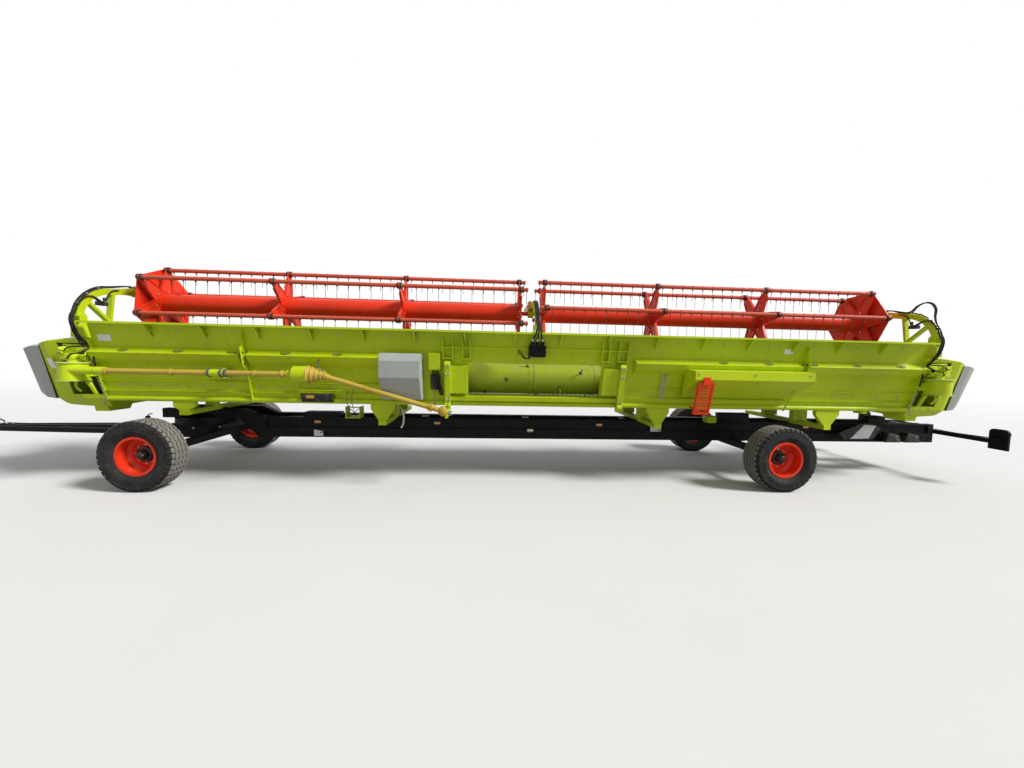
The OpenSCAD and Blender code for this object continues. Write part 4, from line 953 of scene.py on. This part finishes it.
class HEADER_OT_wall_trim(bpy.types.Operator):
    """Bolts, blank labels, pressed hollows, fold lines and small brackets on the rear wall"""

    bl_idname = "header.wall_trim"
    bl_label = "Rear wall trim"

    def execute(self, context):
        gussets = [HEADER_X + s * (GUSSET_FIRST + GUSSET_PITCH * i) for s in (-1, 1) for i in range(8)]
        spots = []
        for x in gussets:
            spots += [wall_spot(x + 0.02, 1.835), wall_spot(x + 0.02, 1.93), wall_spot(x + GUSSET_PITCH / 2, 1.90)]
        seam = [HEADER_X - 5.12 + 0.32 * i for i in range(33)]
        spots += [wall_spot(x, 1.235) for x in seam if abs(x - HEADER_X) > 1.25]
        bolts("wall_bolts", 0.018, spots)
        foot = lean(1.83) - 0.010
        flanges = [slab([(x - 0.003, -1.150, 1.958), (x + 0.020, -1.150, 1.958), (x + 0.020, foot, 1.824),
                         (x - 0.003, foot, 1.824)], (0, 0.004, 0.003), 0.001) for x in gussets]
        settle("gusset_flanges", "lime", flanges)

        hollows, screws = [], []
        slope = Vector((0, -0.045, 0.0625)).normalized()
        frame_end, brace, beam_end = 2.05, 3.58, 5.2
        for s in (-1, 1):
            for i in range(1, 8):
                x = HEADER_X + s * (GUSSET_FIRST + GUSSET_PITCH * (i + 0.5))
                off = abs(x - HEADER_X)
                if not frame_end < off < beam_end or abs(off - brace) < 0.12:
                    continue
                middle = Vector((x, lean(1.70) - 0.052, 1.660))
                steps = [(0, 0.030), (0.004, 0.030), (0.005, 0.026), (0.001, 0.022)]
                pick(turned(steps, 20, middle - slope * 0.001, slope))
                edit_all()
                bpy.ops.transform.resize(value=(2.1, 1, 1), center_override=middle)
                hollows.append(leave_edit())
                screws.append((middle + Vector((0.012, 0, 0)) + slope * 0.003, slope))
        # The hollows take the darker lime, painted shade of their recess.
        settle("pressed_hollows", "shade_green", hollows)
        bolts("hollow_bolts", 0.020, screws)

        labels = ((-4.52, -4.37, 1.765, 1.838), (4.02, 4.14, 1.80, 1.86))
        settle("blank_labels", "label", [on_wall(*edges, 0.001, 0.0015, 0) for edges in labels])
        patch = slab([(-1.165, -1.2045, 1.640), (-1.055, -1.2045, 1.640), (-1.055, -1.2012, 1.672),
                      (-1.165, -1.2012, 1.672)], (0, -0.002, 0), 0)
        settle("cover_label", "dark", [patch])
        rods = []
        for x0, x1, z in ((-2.27, -1.78, 1.205), (2.62, 2.98, 1.205), (3.62, 3.95, 1.19)):
            y = lean(z)
            rods.append(tube([(x0, y - 0.012, z + 0.05), (x0 + 0.012, y - 0.034, z + 0.006), (x0 + 0.05, y - 0.036, z),
                              (x1 - 0.05, y - 0.036, z), (x1, y - 0.012, z + 0.004)], 0.006))
        settle("wall_rods", "lime", rods)
        tray = [on_wall(-2.235, -1.85, 1.055, 1.165, 0.03, 0.06, 0.008),
                on_wall(-2.05, -1.87, 1.06, 1.15, 0.088, 0.012, 0.004)]
        settle("document_box", "dark", tray)
        settle("box_patch", "amber_patch", [on_wall(-2.17, -2.07, 1.105, 1.145, 0.0905, 0.002, 0)])
        wires = [tube([(x, lean(1.2) - 0.05, 1.22), (x + 0.006, -0.97, 1.08), (x + 0.02, -0.93, 0.96)], 0.004, 1, 5)
                 for x in (-1.66, -1.60)]
        wires.append(tube([(-0.56, lean(1.2) - 0.04, 1.25), (-0.57, -0.96, 1.1), (-0.55, -0.93, 1.0)], 0.004, 1, 5))
        settle("latch_wires", "dull", wires)
        pad = [on_wall(-0.62, -0.50, 1.24, 1.44, 0.004, 0.05, 0.01)]
        leads = [tube([(-0.60 + 0.03 * i, lean(1.5) - 0.03, 1.50), (-0.57 + 0.03 * i, lean(1.4) - 0.09, 1.40),
                       (-0.53 + 0.02 * i, lean(1.3) - 0.08, 1.28), (-0.50 + 0.02 * i, lean(1.2) - 0.03, 1.17)], 0.008)
                 for i in range(3)]
        settle("post_valve", "dark", pad)
        settle("post_leads", "hose", leads)
        links = [chain([(2.40, lean(1.53) - 0.03, 1.53), (2.41, lean(1.17) - 0.05, 1.15)], 0.034),
                 chain([(2.46, lean(1.50) - 0.03, 1.50), (2.44, lean(1.17) - 0.05, 1.16)], 0.034)]
        settle("wall_chains", "zinc", links)
        # Painted shade: thin dark discs on both faces of the braces stand for the shade in their holes.
        holes = [turned([(0, 0.013), (0.0015, 0.013)], 14, (x + d, lean(z) - 0.085, z), (d, 0, 0))
                 for x in (HEADER_X - 3.57, HEADER_X + 3.60) for d in (-0.0042, 0.0042) for z in (1.52, 1.66)]
        settle("brace_holes", "dark", holes)
        spots = [((HEADER_X + off, -1.235, 1.52), (0, -1, 0)) for off in (2.03, 2.77, 3.50)]
        spots += [wall_spot(HEADER_X + s * (1.12 + d), z, 0.131)
                  for s in (-1, 1) for z in (1.55, 1.45, 1.12) for d in (-0.02, 0.02)]
        bolts("frame_bolts", 0.020, spots)
        x, foot = HEADER_X + 3.45, lean(1.0) - 0.09
        strap = slab([(x, -1.20, 1.55), (x + 0.02, -1.20, 1.55), (x - 0.01, foot, 1.02), (x - 0.03, foot, 1.02)],
                     (0, 0.012, 0), 0.002)
        settle("shelf_stay", "lime", [strap])
        return {"FINISHED"}


class HEADER_OT_end_trim(bpy.types.Operator):
    """Drum flanges, motors, pipes and bolts in the end boxes, cover seals and blank stickers"""

    bl_idname = "header.end_trim"
    bl_label = "End boxes trim"

    def execute(self, context):
        cx, cy = DRUM_X, DRUM_Y
        jacket = [(0, 0.086), (0, 0.129), (0.006, 0.135), (0.196, 0.135), (0.202, 0.129), (0.202, 0.086)]
        settle("drum_jackets", "lime", both_ends(turned(jacket, 40, (cx, cy, 1.294))))
        flanges = both_ends(turned([(0, 0.152), (0.010, 0.152), (0.012, 0.144), (0.012, 0.086)], 40, (cx, cy, 1.494)),
                            turned([(0, 0.146), (0.006, 0.146), (0.008, 0.140), (0.008, 0.084)], 40, (cx, cy, 1.288)))
        # The flanges take a paler lime, a painted highlight on their rims.
        settle("drum_flanges", "pale_lime", flanges)
        fittings = both_ends(
            slab([(cx - 0.17, -1.02, 1.52), (cx + 0.10, -1.02, 1.52), (cx + 0.12, -1.04, 1.71),
                  (cx - 0.14, -1.04, 1.72)], (0, 0.05, 0), 0.008),
            turned([(0, 0.062), (0.03, 0.062), (0.04, 0.050), (0.09, 0.048), (0.10, 0.035), (0.12, 0.034)], 20,
                   (cx + 0.01, cy, 1.505)),
            turned([(0, 0.032), (0.05, 0.032), (0.055, 0.040), (0.085, 0.040)], 6,
                   (cx - 0.10, -1.05, 1.60), (0.3, -0.5, 0.8)),
            turned([(0, 0.026), (0.07, 0.026), (0.075, 0.034), (0.10, 0.034)], 6,
                   (cx + 0.09, -1.04, 1.55), (0.5, -0.6, 0.6)),
            block((cx - 0.16, -1.07, 1.53), (cx - 0.05, -1.0, 1.60), 0.010),
            block((cx + 0.02, -1.06, 1.62), (cx + 0.13, -1.0, 1.68), 0.010),
            slab([(cx + 0.05, -1.00, 1.28), (cx + 0.10, -1.00, 1.28), (cx + 0.16, -0.98, 1.12),
                  (cx + 0.13, -0.98, 1.12)], (0, 0.03, 0), 0.005),
            tube([(cx - 0.13, -1.07, 1.70), (cx - 0.11, -1.10, 1.64), (cx - 0.04, -1.11, 1.60),
                  (cx + 0.03, -1.09, 1.58)], 0.010, 3, 8),
            tube([(cx, -1.04, 1.29), (cx + 0.005, -1.05, 1.22), (cx + 0.03, -1.02, 1.16)], 0.013, 3, 6),
        )
        settle("end_fittings", "lime", fittings)
        lines = both_ends(
            turned([(0, 0.017), (0.03, 0.017), (0.035, 0.012), (0.06, 0.011)], 10,
                   (cx - 0.11, -1.035, 1.68), (-0.2, -0.9, 0.3)),
            turned([(0, 0.019), (0.035, 0.019), (0.04, 0.012), (0.06, 0.011)], 10,
                   (cx + 0.13, -1.10, 1.60), (0.6, -0.2, 0.6)),
            tube([(cx + 0.16, -1.06, 1.66), (cx + 0.14, -1.13, 1.62), (cx + 0.07, -1.15, 1.60), (cx, -1.12, 1.56),
                  (cx - 0.06, -1.07, 1.55)], 0.008, 2, 8),
            tube([(cx + 0.17, -1.04, 1.70), (cx + 0.13, -1.12, 1.69), (cx + 0.04, -1.14, 1.68),
                  (cx - 0.06, -1.10, 1.64)], 0.008, 2, 8),
            tube([(cx + 0.18, -1.02, 1.64), (cx + 0.20, -1.03, 1.52), (cx + 0.19, -1.0, 1.40)], 0.010, 2, 8),
        )
        settle("end_lines", "hose", lines)
        places = ((-0.36, 1.20), (-0.36, 1.40), (-0.36, 1.62), (-0.17, 1.765), (-0.05, 1.06), (-0.28, 1.08))
        spots = [((HEADER_X + s * (HALF_CUT - along), WALL_Y + (1.78 - z) * WALL_LEAN, z), WALL_OUT)
                 for s in (-1, 1) for along, z in places]
        bolts("end_bolts", 0.018, spots)
        links = [chain([(HEADER_X + s * 5.335, lean(1.73) - 0.03, 1.73), (HEADER_X + s * 5.33, lean(1.4) - 0.06, 1.4),
                        (HEADER_X + s * 5.30, lean(1.07) - 0.05, 1.07), (HEADER_X + s * 5.40, -0.80, 0.97)], 0.030)
                 for s in (-1, 1)]
        settle("end_chains", "zinc", links)
        sticker = slab([(-5.055, -0.995, 1.425), (-4.99, -1.0, 1.425), (-5.02, -1.028, 1.545), (-5.085, -1.02, 1.545)],
                       (0, -0.002, 0), 0)
        settle("rim_sticker", "label", [sticker])
        for side, s in SIDES:
            x = HEADER_X + s * 5.907
            seal = [tube([(x, -0.985, 1.69), (x, -0.91, 1.37), (x, -0.84, 1.08)], 0.005, 1, 3),
                    tube([(x, -0.80, 1.066), (x, -0.40, 1.066), (x, 0.0, 1.072), (x, 0.28, 1.082)], 0.005, 1, 3)]
            settle("cover_seal_" + side, "dark", seal, "door_" + side)
            x = HEADER_X + s * 5.945
            latch = block((x - 0.012, -0.70, 1.690), (x + 0.012, -0.65, 1.718))
            settle("cover_latch_" + side, "dark", [latch], "door_" + side)
        return {"FINISHED"}


class HEADER_OT_trailer_trim(bpy.types.Operator):
    """Bolts, clamps, blank plates, brake lines, chocks and glasses of the trailer"""

    bl_idname = "header.trailer_trim"
    bl_label = "Trailer trim"

    def execute(self, context):
        places = [(-2.9 + 0.62 * i, 0.54) for i in range(17)]
        spots = [((x, y * RAIL_Y, z), (0, y, 0)) for x, z in places for y in (-1, 1)]
        spots += [((x + d, y * RAIL_Y, z), (0, y, 0))
                  for x, z in ((-AXLE_X, 0.80), (AXLE_X, 0.60)) for y in (-1, 1) for d in (-0.08, 0.08)]
        bolts("rail_bolts", 0.026, spots, finish="black")
        circle = [(SLEWING_R * cos(tau * i / 20), SLEWING_R * sin(tau * i / 20)) for i in range(20)]
        bolts("slewing_bolts", 0.024, [((x - AXLE_X, y, 0.7705), UP) for x, y in circle if abs(y) < 0.15])
        run = ((-4.30, 0.86), (-3.6, 0.865), (-3.2, 0.80), (-3.0, 0.765), (-1.0, 0.766), (2.0, 0.766), (5.0, 0.766),
               (7.0, 0.765))
        lines = [tube([(x, y, z) for x, z in run], 0.009) for y in (-0.175, -0.205)]
        settle("brake_lines", "hose", lines)
        plates = [
            plate(-2.52, -2.02, 0.762, 0.832, -0.27, 0.20, 0.006),
            plate(-2.57, -2.20, 0.475, 0.605, -0.2505, -0.008),
            plate(-1.34, -0.90, 0.478, 0.600, -0.2505, -0.010),
            block((3.62, -0.33, 0.762), (4.08, -0.20, 0.905), 0.010),
            block((3.46, -0.33, 0.762), (3.62, -0.22, 0.830), 0.010),
            block((5.92, -0.42, 0.795), (6.20, -0.255, 0.90), 0.020),
        ]
        settle("rail_plates", "black", plates)
        white = [upright([(-2.375, 0.490), (-2.245, 0.490), (-2.255, 0.560), (-2.375, 0.582)], -0.259, -0.002, 0),
                 upright([(5.65, 0.548), (5.95, 0.558), (6.057, 0.752), (5.867, 0.768)], -0.410, -0.004, 0.001)]
        settle("blank_plates", "label", white)
        board = [upright([(5.574, 0.534), (6.038, 0.546), (6.154, 0.718), (6.00, 0.780), (5.83, 0.780),
                          (5.461, 0.634)], -0.406, 0.012, 0.004),
                 *(block((x, -0.396, 0.62), (x + 0.04, -0.248, 0.66)) for x in (5.70, 5.92))]
        settle("plate_board", "dark", board)
        grey = [plate(2.575, 2.745, 0.60, 0.745, -0.256, -0.012, 0.004),
                turned([(0, 0.030), (0.01, 0.034), (0.08, 0.034), (0.09, 0.030)], 20, (0.70, -0.275, 0.605), ALONG)]
        settle("rail_fittings", "zinc", grey)
        hook = tube([(-1.15, -0.30, 0.93), (-1.11, -0.33, 0.89), (-1.09, -0.335, 0.78), (-1.10, -0.33, 0.68),
                     (-1.13, -0.31, 0.63)], 0.013, 3, 8)
        settle("strap_hook", "label", [hook])
        lime = [
            block((-1.90, -0.36, 0.765), (-1.69, -0.20, 0.785)), block((-1.90, -0.36, 0.78), (-1.885, -0.20, 0.93)),
            block((-1.705, -0.36, 0.78), (-1.69, -0.20, 0.93)), block((-1.90, -0.36, 0.915), (-1.69, -0.34, 0.93)),
            block((2.44, -0.40, 0.77), (2.60, -0.24, 0.80)), block((2.58, -0.40, 0.79), (2.60, -0.24, 0.93)),
            block((5.36, -0.84, 0.99), (5.44, -0.70, 1.10), 0.008),
            block((3.38, -0.42, 0.764), (3.52, -0.26, 0.87), 0.020),
        ]
        settle("rail_clamps", "lime", lime)
        crossed = [tube([(-1.88, -0.30, 0.79), (-1.80, -0.31, 0.84), (-1.71, -0.30, 0.91)], 0.006, 1, 4),
                   tube([(-1.71, -0.30, 0.79), (-1.80, -0.29, 0.85), (-1.88, -0.30, 0.91)], 0.006, 1, 4)]
        settle("clamp_screws", "zinc", crossed)
        chocks = [upright([(x, 0.49), (x + 0.26, 0.49), (x + 0.24, 0.60), (x + 0.06, 0.64)], -0.262, -0.12, 0.008)
                  for x in (6.26, 6.58)]
        settle("wheel_chocks", "dark", chocks)
        spots = [((x, s * BOGIE_Y, z), (0, s, 0))
                 for s in (-1, 1) for x, z in ((-4.42, 0.52), (-4.30, 0.60), (-AXLE_X, 0.60), (-3.62, 0.62))]
        bolts("bogie_bolts", 0.024, spots, "bogie")
        washers = [turned([(0, 0.034), (0.012, 0.034), (0.016, 0.028)], 20, (-4.59, s * 0.36, 0.52), (0, s, 0))
                   for s in (-1, 1)]
        settle("hinge_washers", "zinc", washers, "towing_bar")

        rims, clear, amber, red = [], [], [], []
        for s in (-1, 1):
            clear.append(turned([(0, 0.036), (0.014, 0.036), (0.022, 0.026), (0.026, 0.010)], 20,
                                (7.356, s * 1.01, 0.75), ALONG))
            amber.append(turned([(0, 0.029), (0.012, 0.029), (0.019, 0.020), (0.022, 0.008)], 20,
                                (7.356, s * 0.965, 0.64), ALONG))
            red.append(turned([(0, 0.024), (0.006, 0.024), (0.009, 0.018)], 16, (7.33, s * 0.895, 0.70), ALONG))
            rims += [turned([(0, 0.045), (0.012, 0.045), (0.014, 0.040), (0.006, 0.038)], 20,
                            (7.35, s * 1.01, 0.75), ALONG),
                     block((7.322, s * 0.965 - 0.05, 0.552), (7.334, s * 0.965 + 0.05, 0.585))]
        for name, finish, parts in (("lamp_rings", "dark", rims), ("lamps_clear", "clear_lens", clear),
                                    ("lamps_amber", "amber_lens", amber), ("lamps_red", "red_lens", red)):
            settle(name, finish, parts)
        cable = [(7.29, -0.9, 0.68), (7.27, -0.5, 0.673), (7.27, -0.06, 0.673), (7.22, -0.03, 0.66), (7.15, -0.1, 0.70)]
        settle("lamp_cable", "hose", [tube(cable, 0.006)])
        reflectors = [plate(x - 0.045, x + 0.045, 0.670, 0.706, y * WEB_Y, y * 0.009)
                      for y in (-1, 1) for x in (-2.337, -0.627, 1.80, 5.088)]
        settle("side_reflectors", "amber_lens", reflectors)

        x, y = -5.05, 0.235
        jack = [turned([(0, 0.036), (0.30, 0.036), (0.31, 0.030), (0.34, 0.030)], 20, (x, y, 0.33)),
                block((x - 0.04, 0.17, 0.495), (x + 0.04, 0.215, 0.545), 0.006),
                turned([(0, 0.07), (0.012, 0.07), (0.016, 0.064)], 24, (x, y, 0.31)),
                tube([(x, y, 0.66), (x, 0.240, 0.685), (x, 0.27, 0.695), (x, 0.31, 0.695)], 0.008, 2, 4)]
        settle("drawbar_stand", "black", jack, "towing_bar")
        line = ((-4.62, 1, 0.57), (-5.2, 0.9, 0.575), (-6.0, 0.6, 0.572), (-6.8, 0.35, 0.575), (-7.04, 0.3, 0.60),
                (-6.99, 0.3, 0.645), (-6.88, 0.3, 0.62), (-6.82, 0.3, 0.583))
        leads = [tube([(x, y * share, z) for x, share, z in line], 0.009) for y in (-0.14, 0.14)]
        settle("drawbar_lines", "hose", leads, "towing_bar")
        ends = [turned([(0, 0.018), (0.022, 0.018), (0.026, 0.013), (0.040, 0.012)], 8, (-6.82, y, 0.563), (-0.3, 0, 1))
                for y in (-0.042, 0.042)]
        settle("line_couplings", "zinc", ends, "towing_bar")
        return {"FINISHED"}


class HEADER_OT_cutter_trim(bpy.types.Operator):
    """Guard bolts, and the bolted bands and finger guides of the auger"""

    bl_idname = "header.cutter_trim"
    bl_label = "Cutterbar and auger trim"

    def execute(self, context):
        first = (HEADER_X - GUARD_PITCH * (GUARDS - 1) / 2, 0.431, 1.083)
        joined([turned([(0, 0.011), (0.002, 0.011)], 8, first),
                turned([(0.002, 0.009), (0.008, 0.009), (0.010, 0.007)], 6, first)])
        settle("guard_bolts", "zinc", [in_row(GUARDS, GUARD_PITCH)])
        spots = [round_x(HEADER_X + d, AUGER_Y, AUGER_Z, AUGER_R + 0.002, turn)
                 for d in (-0.03, 0.03) for turn in range(0, 360, 30)]
        bolts("auger_bolts", 0.016, spots, "auger_body")
        bands = [ring(0.022, AUGER_R, AUGER_R + 0.005, 56, (HEADER_X + d, AUGER_Y, AUGER_Z))
                 for d in (-0.034, 0.034, -0.86, 0.86)]
        # The bands take the darker lime, painted shade of the inside of the header.
        settle("auger_bands", "green", bands, "auger_body")
        steps = [(0, 0.026), (0.006, 0.026), (0.010, 0.018), (0.012, 0.012)]
        guides = [turned(steps, 14, *round_x(HEADER_X + (i - 5.5) * 0.145, AUGER_Y, AUGER_Z, AUGER_R, 90 + 150 * i))
                  for i in range(12)]
        settle("finger_guides", "dark", guides, "auger_body")
        return {"FINISHED"}


STEPS = (
    HEADER_OT_stage, HEADER_OT_finish_frame, HEADER_OT_tyres, HEADER_OT_wheels, HEADER_OT_reel_trim, HEADER_OT_hoses,
    HEADER_OT_drive, HEADER_OT_wall_trim, HEADER_OT_end_trim, HEADER_OT_trailer_trim, HEADER_OT_cutter_trim,
)


class HEADER_PT_panel(bpy.types.Panel):
    """Lists the steps that dress the header"""

    bl_idname = "HEADER_PT_panel"
    bl_label = "Header"
    bl_space_type = "VIEW_3D"
    bl_region_type = "UI"
    bl_category = "Header"

    def draw(self, context):
        column = self.layout.column()
        for group in (context.scene.header_colours, context.scene.header_sizes):
            for name in group.bl_rna.properties.keys():
                if name not in ("rna_type", "name"):
                    column.prop(group, name)
        for step in STEPS:
            column.operator(step.bl_idname)


CLASSES = (HeaderColours, HeaderSizes, *STEPS, HEADER_PT_panel)


def register():
    for cls in CLASSES:
        bpy.utils.register_class(cls)
    bpy.types.Scene.header_colours = PointerProperty(type=HeaderColours)
    bpy.types.Scene.header_sizes = PointerProperty(type=HeaderSizes)


def unregister():
    del bpy.types.Scene.header_sizes
    del bpy.types.Scene.header_colours
    for cls in reversed(CLASSES):
        bpy.utils.unregister_class(cls)


def main():
    register()
    for step in STEPS:
        group, name = step.bl_idname.split(".")
        getattr(getattr(bpy.ops, group), name)()


if __name__ == "__main__":
    main()
